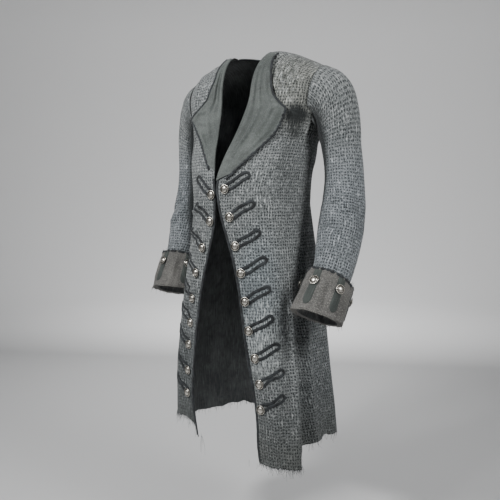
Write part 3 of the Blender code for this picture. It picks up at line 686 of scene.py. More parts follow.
class Finish:
    """A procedural material, built up node by node."""

    def __init__(self, name, roughness, sheen=0.0, metallic=0.0):
        self.material = bpy.data.materials.new(name)
        self.material.use_nodes = True
        self.shader = self.material.node_tree.nodes["Principled BSDF"]
        self.shader.inputs["Roughness"].default_value = roughness
        self.shader.inputs["Sheen Weight"].default_value = sheen
        self.shader.inputs["Sheen Roughness"].default_value = 0.45
        self.shader.inputs["Metallic"].default_value = metallic
        self.cut = self.add("UVMap", uv_map="cloth").outputs["UV"]
        self.here = self.add("TexCoord").outputs["Object"]

    def fill(self, socket, value):
        """Gives an input its value, or joins it to another node's output."""
        if isinstance(value, bpy.types.NodeSocket):
            self.material.node_tree.links.new(value, socket)
        else:
            socket.default_value = value

    def add(self, kind, inputs=None, **settings):
        node = self.material.node_tree.nodes.new("ShaderNode" + kind)
        for key, value in settings.items():
            setattr(node, key, value)
        for key, value in (inputs or {}).items():
            self.fill(node.inputs[key], value)
        return node

    def maths(self, operation, first, second=0.0):
        return self.add("Math", {0: first, 1: second}, operation=operation).outputs[0]

    def times(self, first, second):
        return self.maths("MULTIPLY", first, second)

    def vector_maths(self, operation, first, second=(0.0, 0.0, 0.0)):
        return self.add("VectorMath", {0: first, 1: second}, operation=operation)

    def along(self, place, axis):
        return self.add("SeparateXYZ", {0: place}).outputs[axis]

    def between(self, value, low, high, to_low=0.0, to_high=1.0):
        """A value's place between two limits, softly."""
        inputs = {"Value": value, "From Min": low, "From Max": high, "To Min": to_low, "To Max": to_high}
        return self.add("MapRange", inputs, interpolation_type="SMOOTHSTEP").outputs["Result"]

    def share_of(self, value, low, high, most):
        return self.times(self.between(value, low, high), most)

    def blend(self, share, first, second, kind="MIX"):
        node = self.add("Mix", data_type="RGBA", blend_type=kind)
        colours = [socket for socket in node.inputs if socket.type == "RGBA"]
        for socket, value in ((node.inputs[0], share), (colours[0], first), (colours[1], second)):
            self.fill(socket, (*value, 1) if isinstance(value, tuple) else value)
        return next(socket for socket in node.outputs if socket.type == "RGBA")

    def mapped(self, **inputs):
        """The place on the cut cloth, scaled or turned."""
        return self.add("Mapping", {"Vector": self.cut, **inputs}).outputs["Vector"]

    def noise(self, place, scale, detail=3.0, roughness=0.55):
        inputs = {"Vector": place, "Scale": scale, "Detail": detail, "Roughness": roughness}
        return self.add("TexNoise", inputs).outputs[0]

    def stretched_noise(self, across, along):
        """Noise drawn out along the threads, its grains given by how many go in a metre."""
        return self.noise(self.mapped(Scale=(across, along, 1.0)), 1.0, 2.0, 0.6)

    def bands(self, place, pitch, direction="X"):
        """Soft stripes of a pitch in metres, dark at 0."""
        inputs = {"Vector": place, "Scale": math.pi / 10 / pitch, "Distortion": 0.0}
        wave = self.add("TexWave", inputs, wave_type="BANDS", bands_direction=direction)
        return wave.outputs["Fac"]

    def patch(self, centre, size):
        """1 round a point of the coat, falling to 0 at the given half sizes from it."""
        shift = self.vector_maths("SUBTRACT", self.here, centre).outputs[0]
        scaled = self.vector_maths("DIVIDE", shift, size).outputs[0]
        reach = self.vector_maths("LENGTH", scaled).outputs["Value"]
        return self.between(reach, 0.25, 1.0, 1.0, 0.0)

    def dress(self, colour, height, depth):
        """Gives the shader its colour and its raised detail."""
        self.fill(self.shader.inputs["Base Color"], colour)
        raised = self.add("Bump", {"Height": height, "Distance": depth, "Strength": 1.0})
        self.fill(self.shader.inputs["Normal"], raised.outputs["Normal"])
        return self.material


def toned(colour, factor):
    """A colour made darker or lighter."""
    return tuple(c * factor for c in colour)


def dotted_cloth(name):
    """The coat's cloth: a small uneven dotted basket weave, worn lighter on its threads.

    Gives the finish, its colour and relief, and the threads and mottling that its wear, grime and painted
    shade follow.
    """
    light, mid, dark, worn = CLOTH_COLOURS
    look = Finish(name, 0.84, sheen=0.08)
    cells = look.mapped(Scale=(1 / DOT_PITCH[0], 1 / DOT_PITCH[1], 1))
    dot_place = {"Vector": cells, "Scale": 1.0, "Randomness": 0.36}
    gap = look.add("TexVoronoi", dot_place, voronoi_dimensions="2D").outputs["Distance"]
    dots = look.between(gap, 0.17, 0.42, 1.0, 0.0)
    broad, small = look.noise(look.here, 5.0, 4.0), look.noise(look.here, 46.0)
    grain = look.stretched_noise(460.0, 380.0)
    upright = look.stretched_noise(340.0, 40.0)
    level = look.stretched_noise(44.0, 340.0)
    ground = look.blend(look.between(broad, 0.32, 0.68), mid, light)
    for threads, low, high, share, tone in (
        (grain, 0.52, 0.36, 0.62, dark),
        (grain, 0.54, 0.68, 0.50, worn),
        (level, 0.55, 0.72, 0.35, worn),
        (level, 0.44, 0.32, 0.30, dark),
        (upright, 0.54, 0.68, 0.70, worn),
        (upright, 0.44, 0.32, 0.40, dark),
    ):
        ground = look.blend(look.share_of(threads, low, high, share), ground, tone)
    strength = look.between(small, 0.30, 0.62, 1.0, 0.72)
    colour = look.blend(look.times(dots, strength), ground, dark)
    relief = look.maths("SUBTRACT", look.maths("ADD", upright, grain), dots)
    relief = look.maths("ADD", relief, look.times(small, 1.6))
    return look, colour, relief, upright, broad


def body_cloth():
    look, colour, relief, threads, broad = dotted_cloth("dotted cloth of the body")
    # Tints of the cloth, and painted shade on the lower right front and the left side of the skirt
    for centre, size, share, tint in TINTS_AND_PAINTED_SHADE:
        near = look.times(look.patch(centre, size), share)
        colour = look.blend(near, colour, tint, "MULTIPLY")
    for centre, size, low, high, share in WORN_PATCHES:
        worn = look.times(look.patch(centre, size), look.share_of(threads, low, high, share))
        colour = look.blend(worn, colour, BRIGHT_WORN)
    # Dark wear, and painted shade in the left shoulder's gathers and along the right front's edge beside
    # the sleeve
    for centre, size, share, low, high, least in DARK_WEAR_AND_SHADE_PATCHES:
        dark = look.times(look.patch(centre, size), look.between(threads, low, high, 1.0, least))
        colour = look.blend(look.times(dark, share), colour, DARK_WEAR_AND_SHADE)
    # Darker towards the hem: partly grime, partly painted shade of the light falling off downwards
    low = look.between(look.along(look.here, "Z"), -0.95, -1.24)
    dirt_and_shade = look.times(low, look.between(broad, 0.30, 0.62, 0.40, 0.90))
    colour = look.blend(dirt_and_shade, colour, HEM_DIRT_AND_SHADE, "MULTIPLY")
    return look.dress(colour, relief, CLOTH_RELIEF)


def sleeve_cloth():
    look, colour, relief = dotted_cloth("dotted cloth of the sleeves")[:3]
    blue = look.between(look.along(look.here, "Z"), -0.20, -0.42)
    colour = look.blend(look.times(blue, 0.60), colour, SLEEVE_BLUE, "MULTIPLY")
    # Painted shade where the sleeves lie next to the body
    for centre, size in PAINTED_UNDERARM_SHADE_PATCHES:
        colour = look.blend(look.times(look.patch(centre, size), 1.25), colour, PAINTED_UNDERARM_SHADE)
    return look.dress(colour, relief, CLOTH_RELIEF)


def plain_cloth(name, light, dark, pitch, roughness, sheen, depth, slubs=(260.0, 24.0, 0.35)):
    """Plain woven cloth, with its threads, soft mottling and slubs.

    The slubs are given by how many go in a metre across and along, and by their strength.
    """
    look = Finish(name, roughness, sheen)
    weave = look.times(look.bands(look.cut, pitch), look.bands(look.cut, pitch, "Y"))
    broad, fine = look.noise(look.here, 9.0, 4.0), look.noise(look.here, 55.0)
    slub = look.stretched_noise(*slubs[:2])
    colour = look.blend(look.between(broad, 0.30, 0.70), dark, light)
    for share, tone in (
        (look.share_of(fine, 0.52, 0.34, 0.45), toned(dark, 0.6)),
        (look.between(weave, 0.0, 0.5, 0.38, 0.0), toned(dark, 0.45)),
        (look.share_of(slub, 0.50, 0.70, slubs[2]), toned(light, 1.7)),
        (look.share_of(slub, 0.46, 0.32, slubs[2]), toned(dark, 0.5)),
    ):
        colour = look.blend(share, colour, tone)
    relief = look.maths("ADD", weave, look.times(slub, 2.0))
    relief = look.maths("ADD", relief, look.times(fine, 2.0))
    return look.dress(colour, relief, depth)


def braid_cloth(name, light, dark):
    """Flat braid: plaited strands crossing along it."""
    look = Finish(name, 0.7, sheen=0.1)
    one, other = (
        look.bands(look.mapped(Rotation=(0, 0, math.radians(slant))), 0.0016) for slant in (38, -38)
    )
    plait = look.maths("MAXIMUM", one, other)
    wear = look.noise(look.here, 60.0, 4.0)
    colour = look.blend(look.between(wear, 0.35, 0.72), dark, light)
    colour = look.blend(look.between(plait, 0.35, 0.85, 0.6, 0.0), colour, toned(dark, 0.4))
    return look.dress(colour, plait, 0.0005)


def old_metal():
    """Silver-coloured metal, gone dark in its hollows."""
    look = Finish("dulled button metal", 0.34, metallic=1.0)
    radius = look.along(look.cut, "X")
    hollow = look.maths("ABSOLUTE", look.maths("SUBTRACT", radius, 0.0106))
    hollow = look.between(hollow, 0.0007, 0.0024, 1.0, 0.0)
    under = look.between(radius, 0.0132, 0.0142)
    grime = look.times(look.maths("MAXIMUM", hollow, under), 0.94)
    spots = look.noise(look.here, 420.0, 4.0)
    colour = look.blend(look.between(spots, 0.40, 0.70), (0.76, 0.73, 0.66), (0.48, 0.45, 0.39))
    colour = look.blend(grime, colour, (0.05, 0.045, 0.04))
    look.fill(look.shader.inputs["Roughness"], look.between(spots, 0.3, 0.75, 0.24, 0.48))
    return look.dress(colour, spots, 0.00015)


DOT_PITCH = (0.0084, 0.0096)
CLOTH_RELIEF = 0.0010
# Light, middle, dark and worn colours of the coat's cloth
CLOTH_COLOURS = ((0.222, 0.238, 0.236), (0.130, 0.143, 0.143), (0.012, 0.015, 0.017), (0.58, 0.60, 0.60))
BRIGHT_WORN = (0.56, 0.60, 0.60)
DARK_WEAR_AND_SHADE = (0.014, 0.017, 0.017)
PAINTED_UNDERARM_SHADE = (0.012, 0.015, 0.016)
HEM_DIRT_AND_SHADE = (0.46, 0.46, 0.43)
SLEEVE_BLUE = (0.95, 1.00, 1.10)
# Places on the body with a tint multiplied in: centre, half sizes, share and tint. The first two are
# tints of the cloth itself, the last two are painted shade
TINTS_AND_PAINTED_SHADE = (
    ((0.17, -0.09, -0.13), (0.13, 0.18, 0.18), 0.60, (1.0, 0.94, 0.80)),
    ((0.13, -0.22, -0.72), (0.10, 0.12, 0.26), 0.50, (0.88, 1.0, 1.10)),
    # Painted shade on the lower right front
    ((-0.14, -0.19, -1.06), (0.18, 0.16, 0.46), 0.70, (0.56, 0.58, 0.59)),
    # Painted shade on the left side of the skirt
    ((0.26, 0.00, -1.06), (0.14, 0.20, 0.46), 0.55, (0.62, 0.64, 0.66)),
)
# Where the threads are worn bright: centre, half sizes, between which thread heights, and share
WORN_PATCHES = (
    ((0.150, -0.217, -0.86), (0.075, 0.10, 0.17), 0.46, 0.60, 0.85),
    ((0.165, -0.110, -0.11), (0.060, 0.10, 0.10), 0.50, 0.64, 0.42),
    ((0.140, -0.200, -0.42), (0.080, 0.10, 0.12), 0.50, 0.64, 0.40),
)
# Where the cloth is painted dark, by dark wear and by painted shade: centre, half sizes, share,
# between which thread heights the dark fades, and what is left of it on the highest threads
DARK_WEAR_AND_SHADE_PATCHES = (
    # A dark worn patch just past the left lapel's point
    ((0.194, -0.108, -0.208), (0.036, 0.09, 0.042), 1.60, 0.30, 0.62, 0.62),
    ((0.186, -0.112, -0.240), (0.022, 0.07, 0.060), 1.10, 0.30, 0.60, 0.50),
    # Painted shade in the gathers at the left shoulder, as dark streaks between the threads
    ((0.168, -0.078, -0.070), (0.030, 0.10, 0.110), 0.60, 0.42, 0.50, 0.0),
    # Painted shade along the right front's edge beside the sleeve, broken into streaks along the threads
    ((-0.185, -0.120, -0.240), (0.030, 0.08, 0.060), 0.80, 0.36, 0.52, 0.2),
    ((-0.152, -0.150, -0.350), (0.032, 0.06, 0.220), 1.10, 0.40, 0.54, 0.15),
    ((-0.165, -0.150, -0.640), (0.036, 0.06, 0.260), 0.80, 0.40, 0.54, 0.20),
)
# Painted shade on the sleeves where they lie next to the body: centre and half sizes
PAINTED_UNDERARM_SHADE_PATCHES = (
    ((-0.236, -0.045, -0.38), (0.046, 0.09, 0.34)),
    ((0.236, -0.045, -0.38), (0.040, 0.09, 0.34)),
)
FINISH = {
    "body": body_cloth(),
    "sleeve": sleeve_cloth(),
    "inside": plain_cloth(
        "dark inside of the cloth", (0.170, 0.180, 0.180), (0.095, 0.102, 0.104),
        pitch=0.0016, roughness=0.9, sheen=0.05, depth=0.0004,
    ),
    "raw": plain_cloth(
        "cut edge of the cloth", (0.075, 0.080, 0.080), (0.035, 0.038, 0.040),
        pitch=0.0012, roughness=0.9, sheen=0.1, depth=0.0004,
    ),
    "facing": plain_cloth(
        "smooth facing cloth", (0.150, 0.168, 0.158), (0.074, 0.086, 0.080),
        pitch=0.0008, roughness=0.66, sheen=0.18, depth=0.00025, slubs=(210.0, 150.0, 0.22),
    ),
    "cuff": plain_cloth(
        "coarse cuff cloth", (0.262, 0.254, 0.236), (0.138, 0.136, 0.127),
        pitch=0.0026, roughness=0.90, sheen=0.10, depth=0.0014, slubs=(330.0, 250.0, 0.60),
    ),
    "tab": plain_cloth(
        "cloth of the cuff tabs", (0.072, 0.086, 0.078), (0.046, 0.056, 0.051),
        pitch=0.0010, roughness=0.75, sheen=0.15, depth=0.0003,
    ),
    "braid": braid_cloth("charcoal braid", (0.044, 0.052, 0.058), (0.008, 0.010, 0.012)),
    "thread": plain_cloth(
        "sewing thread", (0.060, 0.066, 0.070), (0.030, 0.034, 0.036),
        pitch=0.0005, roughness=0.7, sheen=0.1, depth=0.0001,
    ),
    "fray": plain_cloth(
        "frayed threads", (0.17, 0.18, 0.18), (0.08, 0.085, 0.09),
        pitch=0.0005, roughness=0.85, sheen=0.1, depth=0.0001,
    ),
    "metal": old_metal(),
}


# The fronts and backs

PANEL_LEVELS = np.concatenate([np.linspace(HEM_LEVEL, YOKE, 176)[:-1], np.linspace(YOKE, 0, 34)])
SEAM_DIP = 0.0008
SEAM_REACH = 0.006


def panel(side, half, columns):
    name = f"{half}_{side}"
    across, level = np.meshgrid(np.linspace(0, 1, columns), PANEL_LEVELS)
    hem = np.interp(across, *HEMS[name]) + ripple(across * 1.3, across * 0.2, 3.3, 0.0030)
    to_hem = HEM_REACH + (level - HEM_REACH) * (hem - HEM_REACH) / (HEM_LEVEL - HEM_REACH)
    level = np.where(level < HEM_REACH, to_hem, level)
    start = turn_at(side, read(FRONT_EDGE, side, level), level) if half == "front" else 180.0
    end = side_turn(side, level, half)
    spare = np.where(level <= ARMPIT, 0, read(SIDE_SEAM, "turn", ARMPIT) - end)
    turn = start + (end + spare - start) * across - spare * across**2.4
    if half == "back":
        x = np.abs(body(side, turn, level)[..., 0])
        share = 1 - (1 - NECKLINE) * (1 - (x / SIDE_NECK) ** 2)
        lowered = YOKE + (level - YOKE) * share
        level = np.where((level > YOKE) & (x < SIDE_NECK), lowered, level)
    plain = body(side, turn, level)
    run, drop = lengths(plain, 1), lengths(plain, 0)
    grain = columns * 2 // 5
    flat = flat_of(run - run[:, [grain]], drop[:, [grain]])
    dip = -SEAM_DIP * bump(run[:, [-1]] - run, SEAM_REACH)
    if half == "back":
        dip = dip - SEAM_DIP * bump(run, SEAM_REACH)
    points, normals = lying(side, turn, level, dip)
    points = points + np.array((SIDES[side] * SEAM / 2, -SEAM / 2 if half == "front" else SEAM / 2, 0))
    middle = normals[len(level) // 2, columns // 2]
    finishes = [FINISH["body"], FINISH["inside"], FINISH["raw"]]
    piece = cloth(name + "_cloth", points, flat, finishes, WALL, middle)
    return settle(piece, "shell_cloth", name)


# The lapels

LAPEL_SLOPE = 0.020
# How wide its creases take it to be, and how high its cloth lies over the middle of the front's
LAPEL_WIDE = 0.1
LAPEL_REST = 0.0040
# The roll of the fold: how far past the front's edge and how high
FOLD_ROUND = (
    (-0.0017, 0.0000),
    (-0.0019, 0.0010),
    (-0.0017, 0.0020),
    (-0.0010, 0.0030),
    (0.0004, 0.0036),
)


def lapel_point(side, share, level, extra=0.0):
    """A point of the lapel's middle: share 0 is its fold and 1 its free edge."""
    levels, edges, lifts = np.array(LAPELS[side][1:]).T
    fold = read(FRONT_EDGE, side, level)
    edge, lift = np.interp(level, levels, edges), np.interp(level, levels, lifts)
    creases = rows_of(LAPEL_CREASES, side)
    crease = crease_height(creases, share * LAPEL_WIDE, level, LAPEL_WIDE, ("across", "level"))
    uneven = np.maximum(crease + ripple(level, share * 0.05, 2.3, 0.0014) * ease(share), -0.0012)
    height = LAPEL_REST + (lift - 0.0030) * share**1.5 + uneven + extra
    return on_front(side, fold + (edge - fold) * share, level, height)[0]


def lapel(side):
    levels = np.linspace(LAPELS[side][1][0], LAPELS[side][-1][0], 130)
    slope = LAPEL_SLOPE * ((levels[-1] - levels) / (levels[-1] - levels[0])) ** 8
    columns = []
    for past, height in FOLD_ROUND:
        x = np.maximum(read(FRONT_EDGE, side, levels) + past, 0.0005)
        columns.append(on_front(side, x, levels, height)[0])
    for share in np.linspace(0.03, 1, 60):
        columns.append(lapel_point(side, np.full(levels.shape, share), levels + share * slope))
    points = np.stack(columns, axis=1)
    flat = flat_of(lengths(points, 1), lengths(points, 0)[:, [20]])
    outward = on_front(side, 0.08, -0.25)[1]
    finishes = [FINISH["facing"], FINISH["facing"], FINISH["raw"]]
    piece = cloth(f"lapel_{side}_cloth", points, flat, finishes, FACING_WALL, outward)
    return settle(piece, "facing_cloth", f"lapel_{side}")


# The sleeves and cuffs

SLEEVE_COLUMNS = 150
FRONT_SEAM, HIND_SEAM = 45, 105
SLEEVE_SEAM_DIP = 0.0010


def sleeve(side):
    turns = np.arange(SLEEVE_COLUMNS) * 360 / SLEEVE_COLUMNS
    armhole = armhole_point(side, turns)
    rings = [ring(row, side, turns) for row in ARMS[side]]
    rise = HEAD_RISE * (1 + np.cos(np.radians(turns))) / 2
    head = [armhole]
    for share in (0.26, 0.62):
        out = np.outer(rise * 4 * share * (1 - share), (SIDES[side], 0, 1))
        head.append(armhole + (rings[0] - armhole) * share + out)
    rows = np.array(head + rings)
    steps = np.linalg.norm(np.diff(rows, axis=0), axis=2).mean(axis=1)
    places = np.concatenate([[0], np.cumsum(steps)])
    down = np.linspace(0, places[-1], 140)
    grid = smooth(places, rows, down)
    normals = tube_normals(grid) * SIDES[side]
    under_head = int(np.searchsorted(down, places[2]))
    normals[:under_head] = normals[under_head]
    angle, run = np.meshgrid((turns + 180) % 360 - 180, down)
    lift = ripple(angle * ARM_TURN_METRES, run, SEEDS[side]["sleeve"], 0.0009)
    creases = rows_of(SLEEVE_CREASES, side)
    for around in (-360, 0, 360):
        place = (angle + around) * ARM_TURN_METRES
        lift = lift + crease_height(creases, place, run, ARM_TURN_METRES, ("turn", "down"))
    for seam in (FRONT_SEAM, HIND_SEAM):
        gap = (angle - turns[seam] + 180) % 360 - 180
        lift = lift - SLEEVE_SEAM_DIP * bump(gap * ARM_TURN_METRES, SEAM_REACH)
    lift = lift * ease(run / 0.02)
    grid = grid + lift[..., None] * normals
    upper = [k % SLEEVE_COLUMNS for k in range(HIND_SEAM, SLEEVE_COLUMNS + FRONT_SEAM + 1)]
    under = list(range(FRONT_SEAM, HIND_SEAM + 1))
    pieces = []
    for name, columns in (("upper", upper), ("under", under)):
        points = grid[:, columns].copy()
        for edge, inside in ((0, 1), (-1, -2)):
            points[:, edge] += unit(points[:, inside] - points[:, edge]) * SEAM / 2
        run, half = lengths(points, 1), len(columns) // 2
        flat = flat_of(run - run[:, [half]], down[:, None])
        finishes = [FINISH["sleeve"], FINISH["inside"], FINISH["raw"]]
        name = f"sleeve_{name}_{side}"
        piece = cloth(name + "_cloth", points, flat, finishes, WALL, normals[70, columns[half]])
        pieces.append(settle(piece, "shell_cloth", name))
    return pieces


CUFF_TURNS = np.linspace(0, 360, 241)
CUFF_HEIGHT = 0.115
CUFF_RADIUS = 0.072
CUFF_UNEVENNESS = 0.0024
RUMPLES = ((3, 2.0), (5, -3.1), (8, 4.4), (11, -2.2), (17, 5.3))


def cuff_row(side, share):
    rows = np.array(CUFFS[side])
    return smooth(np.linspace(0, 1, len(rows)), rows, share)


def rumple(turn, share, seed):
    """Unevenness of the stiff cuff cloth, the same where its turn ends as where it starts."""
    total = 0
    for count, lean in RUMPLES:
        total = total + np.sin(np.radians(turn) * count + share * lean + seed * count) / count**0.55
    return total * CUFF_UNEVENNESS


def cuff_point(side, turn, share, height):
    """A point of the cuff at a turn from the outside of the arm, forward negative."""
    turn, share, height = np.broadcast_arrays(*(np.asarray(v, float) for v in (turn, share, height)))
    folds, run = rows_of(CUFF_CREASES, side), (turn + 180) % 360 * CUFF_TURN_METRES
    wave = rumple(turn, share, SEEDS[side]["cuff"])
    wave = wave + crease_height(folds, run, share * CUFF_HEIGHT, CUFF_TURN_METRES, ("turn", "down"))
    gaps = [np.abs((turn - tab_turn + 180) % 360 - 180) for tab_turn in CUFF_BUTTON_TURNS[side]]
    past_tab = ease((np.min(gaps, axis=0) - 9) / 14)
    wave = wave * np.maximum(ease(np.abs(share - CUFF_BUTTON_PLACE) / 0.2), past_tab)
    return ring(cuff_row(side, share), side, -turn, height + wave * (share > 0.001))


def cuff_outward(side, turns, share, height):
    """Points round the cuff and the ways out from it there."""
    points = cuff_point(side, turns, share, height)
    return points, unit(cuff_point(side, turns, share, height + 0.01) - points)


def worn_edge(side, turn):
    """How much of the cuff is worn away at its lower edge, as a share of its height."""
    circle, seed = np.radians(turn), SEEDS[side]["cuff_wear"]
    waves = sum(np.sin(circle * count + seed * count) / count**0.4 for count in (5, 9, 14, 23, 31, 47))
    return 0.020 + 0.0075 * np.clip(waves, -2.4, 2.4)


def cuff(side):
    worn = worn_edge(side, CUFF_TURNS)
    outer = [(share, WALL / 2) for share in np.linspace(0, 0.985, 34)]
    lip = [(1.0, WALL / 4), (1.0, -0.0030)]
    inner = [(share, -WALL / 2) for share in np.linspace(0.97, 0.0, 20)]
    outer, lip, inner = (
        [
            cuff_point(side, CUFF_TURNS, share - worn * ease((share - 0.75) / 0.25), height)
            for share, height in rows
        ]
        for rows in (outer, lip, inner)
    )
    end, above = np.array(ARMS[side][-1]), np.array(ARMS[side][-2])
    under = [ring(end, side, -CUFF_TURNS, WALL / 2 + 0.0060)]
    for row in (end, end + (above - end) * 0.05):
        under.append(ring(row, side, -CUFF_TURNS, WALL / 2 + CUFF_SEAT))
    points = np.array([*outer, *lip, *under, *inner, outer[0]])
    flat = flat_of(np.radians(CUFF_TURNS)[None] * CUFF_RADIUS, lengths(points, 0)[:, [0]])
    piece = laid_grid(f"cuff_{side}_cloth", points, flat, [FINISH["cuff"]])
    edit(piece, merge_doubles, select_all, face_outward)
    apply_all(piece)
    return settle(piece, "cuff_cloth", f"cuff_{side}")


TAB_THICKNESS = 0.0010
TAB_ROUND = 0.13


def tab(side, number, middle):
    """A strap sewn on the cuff under its button, rounded at its lower end."""
    shares = np.linspace(TAB_PLACES[0] - 0.14, TAB_PLACES[1], 34)
    past = np.maximum(0, (shares - TAB_PLACES[1] + TAB_ROUND) / (TAB_ROUND + 0.005))
    width = np.sqrt(np.maximum(0.02, 1 - past**2))
    across = np.linspace(-1, 1, 15)
    turn = middle + TAB_HALF_ANGLE * np.outer(width, across)
    share = shares[:, None] + 0 * across[None]
    swell = (1 - np.abs(across[None]) ** 5) * ease((TAB_PLACES[1] - share) / 0.03)
    points = cuff_point(side, turn, share, WALL / 2 + 0.0006 + 0.0011 * swell)
    flat = flat_of(across[None] * 0.0115, share * 0.11)
    outward = points[17, 7] - ring(cuff_row(side, 0.5), side, -middle, -0.05)
    finishes = [FINISH["tab"], FINISH["tab"], FINISH["braid"]]
    piece = cloth(f"tab_{side}_{number}", points, flat, finishes, TAB_THICKNESS, outward)
    return settle(piece, "cuff_cloth")


# Braid loops and bindings

# The right halves of two outlines, as places aside and up
BRAID_HALF = ((0.0046, -0.0002), (0.0044, 0.0012), (0.0033, 0.0022), (0.0012, 0.0026))
BINDING_HALF = ((0.0041, -0.0004), (0.003772, 0.00096), (0.00205, 0.0016))


def loop(side, number, middle, level):
    """A braid loop lying on the front, its open end at its button and its round end outward."""
    rise = math.radians(LOOP_RISE[side])
    straight = LOOP_LENGTH - LOOP_HALF_WIDTH
    runs = np.linspace(0.006, straight, 20)
    pinch = 0.48 if number >= len(BUTTONS) - 2 else 0.05 * math.sin(3.3 * number)
    narrow = LOOP_HALF_WIDTH * (1 - pinch * bump(runs - 0.55 * straight, 0.03))
    round_end = np.radians(np.linspace(90, -90, 16)[1:-1])
    line = [*zip(runs, narrow)]
    line += [(straight + LOOP_HALF_WIDTH * math.cos(t), LOOP_HALF_WIDTH * math.sin(t)) for t in round_end]
    line += [(run, -half) for run, half in zip(runs[::-1], narrow[::-1])]
    along, across = np.array(line).T
    across = across + 0.0013 * np.sin(along * 90 + number * 2.1)
    up = level + along * math.sin(rise) + across * math.cos(rise)
    run = along * math.cos(rise) - across * math.sin(rise)
    turn = turn_at(side, middle, up)
    for _ in range(6):
        ahead = body(side, turn + 0.5, up) - body(side, turn - 0.5, up)
        turn = turn + run / 6 / np.linalg.norm(ahead, axis=-1)
    points, normals = lying(side, turn, up, WALL / 2 + 0.0004)
    if side == "left":
        points, normals = points[::-1], normals[::-1]
    name = f"loop_{side}_{number}"
    piece = swept(name + "_braid", points, normals, mirrored(BRAID_HALF), 0.01 * number)
    return settle(piece, "braid", name)


def front_binding(side):
    """The bound front edge: a low rounded band."""
    levels = np.linspace(-0.395, float(HEMS[f"front_{side}"][1][0]) + 0.004, 220)
    x = read(FRONT_EDGE, side, levels) + 0.0036 + ripple(levels * 3, levels * 0, 1.3, 0.0007)
    points, normals = on_front(side, x, levels, WALL / 2)
    settle(swept(f"edge_binding_{side}", points, normals, mirrored(BINDING_HALF)), "braid")


def lapel_binding(side):
    """The lapel's bound edge, ruffled and worn along its lower run."""
    levels = np.linspace(LAPELS[side][1][0] + 0.004, LAPELS[side][-1][0] - 0.002, 340)
    points = lapel_point(side, np.ones(levels.shape), levels)
    out = unit(points - lapel_point(side, np.full(levels.shape, 0.94), levels))
    normals = unit(np.cross(np.gradient(points, axis=0), out))
    normals *= np.sign((normals * on_front(side, 0.1, levels)[1]).sum(axis=1, keepdims=True))
    low = ease((-0.185 - levels) / 0.03) * (1.0 if side == "left" else 0.6)
    ruffle = (np.sin(levels * 620) + 0.7 * np.sin(levels * 391 + 1.0)) * (0.0003 + 0.0011 * low)
    lift = np.sin(levels * 505 + 2.0) * 0.0008 * low + 0.0004
    points = points + ruffle[:, None] * out + lift[:, None] * normals
    settle(swept(f"lapel_binding_{side}", points, normals, oval(0.0036, 0.0026, 8)), "braid")


def neck_binding():
    """The bound edge of the back of the neck, from one shoulder to the other."""
    halves = []
    for side in SIDES:
        x = np.linspace(0.0004, SIDE_NECK - 0.001, 50)
        level = YOKE * (1 - NECKLINE) * (1 - (x / SIDE_NECK) ** 2)
        halves.append(lying(side, turn_at(side, x, level, back=True), level))
    points, normals = (np.concatenate([halves[0][k][::-1], halves[1][k]]) for k in range(2))
    settle(swept("neck_binding", points, normals, oval(0.0040, 0.0026, 8)), "braid")


def cuff_binding(side):
    """The cuff's bound upper edge, a little wavy."""
    points, outward = cuff_outward(side, CUFF_TURNS, 0.0, 0.0)
    below = cuff_point(side, CUFF_TURNS, 0.03, 0.0)
    circle = np.radians(CUFF_TURNS)
    wave = 0.0012 * np.sin(circle * 29) + 0.0009 * np.sin(circle * 17 + 1.0)
    centre = points * 0.35 + below * 0.65 + wave[:, None] * outward
    settle(swept(f"cuff_binding_{side}", centre, outward, oval(0.0048, 0.0028, 10)), "braid")


# Buttons

# A button's outline from the middle of its top out to its edge and under it
BUTTON_OUTLINE = (
    ("radius", "height"),
    (0.0012, 0.0086),
    (0.0036, 0.0084),
    (0.0060, 0.0077),
    (0.0080, 0.0065),
    (0.0093, 0.0051),
    (0.0100, 0.0042),
    (0.0106, 0.0041),
    (0.0112, 0.0047),
    (0.0121, 0.0053),
    (0.0132, 0.0050),
    (0.0139, 0.0043),
    (0.0140, 0.0036),
    (0.0130, 0.0031),
    (0.0036, 0.0028),
    (0.0034, 0.0000),
)
BUTTON_SIDES = 48
BEADS = 16
BEAD_HEIGHT = 0.0004


def make_button():
    """One button at the origin, turned up from a disc, with a beaded rim."""
    radius, height = BUTTON_OUTLINE[1]
    bpy.ops.object.select_all(action="DESELECT")
    bpy.ops.mesh.primitive_circle_add(
        vertices=BUTTON_SIDES, radius=radius, fill_type="TRIFAN", location=(0, 0, height)
    )
    piece = bpy.context.object
    bpy.ops.object.transform_apply(location=True, rotation=False, scale=False)
    bpy.ops.object.mode_set(mode="EDIT")
    select_all()
    bpy.ops.mesh.region_to_loop()
    last = radius, height
    for radius, height in BUTTON_OUTLINE[2:]:
        bpy.ops.mesh.extrude_edges_move(TRANSFORM_OT_translate={"value": (0, 0, height - last[1])})
        grow = radius / last[0]
        bpy.ops.transform.resize(value=(grow, grow, 1), center_override=(0, 0, height))
        last = radius, height
    bpy.ops.mesh.fill_holes(sides=0)
    select_all()
    face_outward()
    bpy.ops.object.mode_set(mode="OBJECT")
    mesh = piece.data
    for vertex in mesh.vertices:
        radius = math.hypot(vertex.co.x, vertex.co.y)
        if 0.0115 < radius < 0.0135 and vertex.co.z > 0.0040:
            vertex.co.z += BEAD_HEIGHT * math.cos(BEADS * math.atan2(vertex.co.y, vertex.co.x))
    layer = mesh.uv_layers[0]
    layer.name = "cloth"
    for corner in mesh.loops:
        x, y, z = mesh.vertices[corner.vertex_index].co
        layer.uv[corner.index].vector = (math.hypot(x, y), z)
    mesh.materials.append(FINISH["metal"])
    bpy.ops.object.shade_smooth_by_angle(angle=math.radians(40))
    return piece


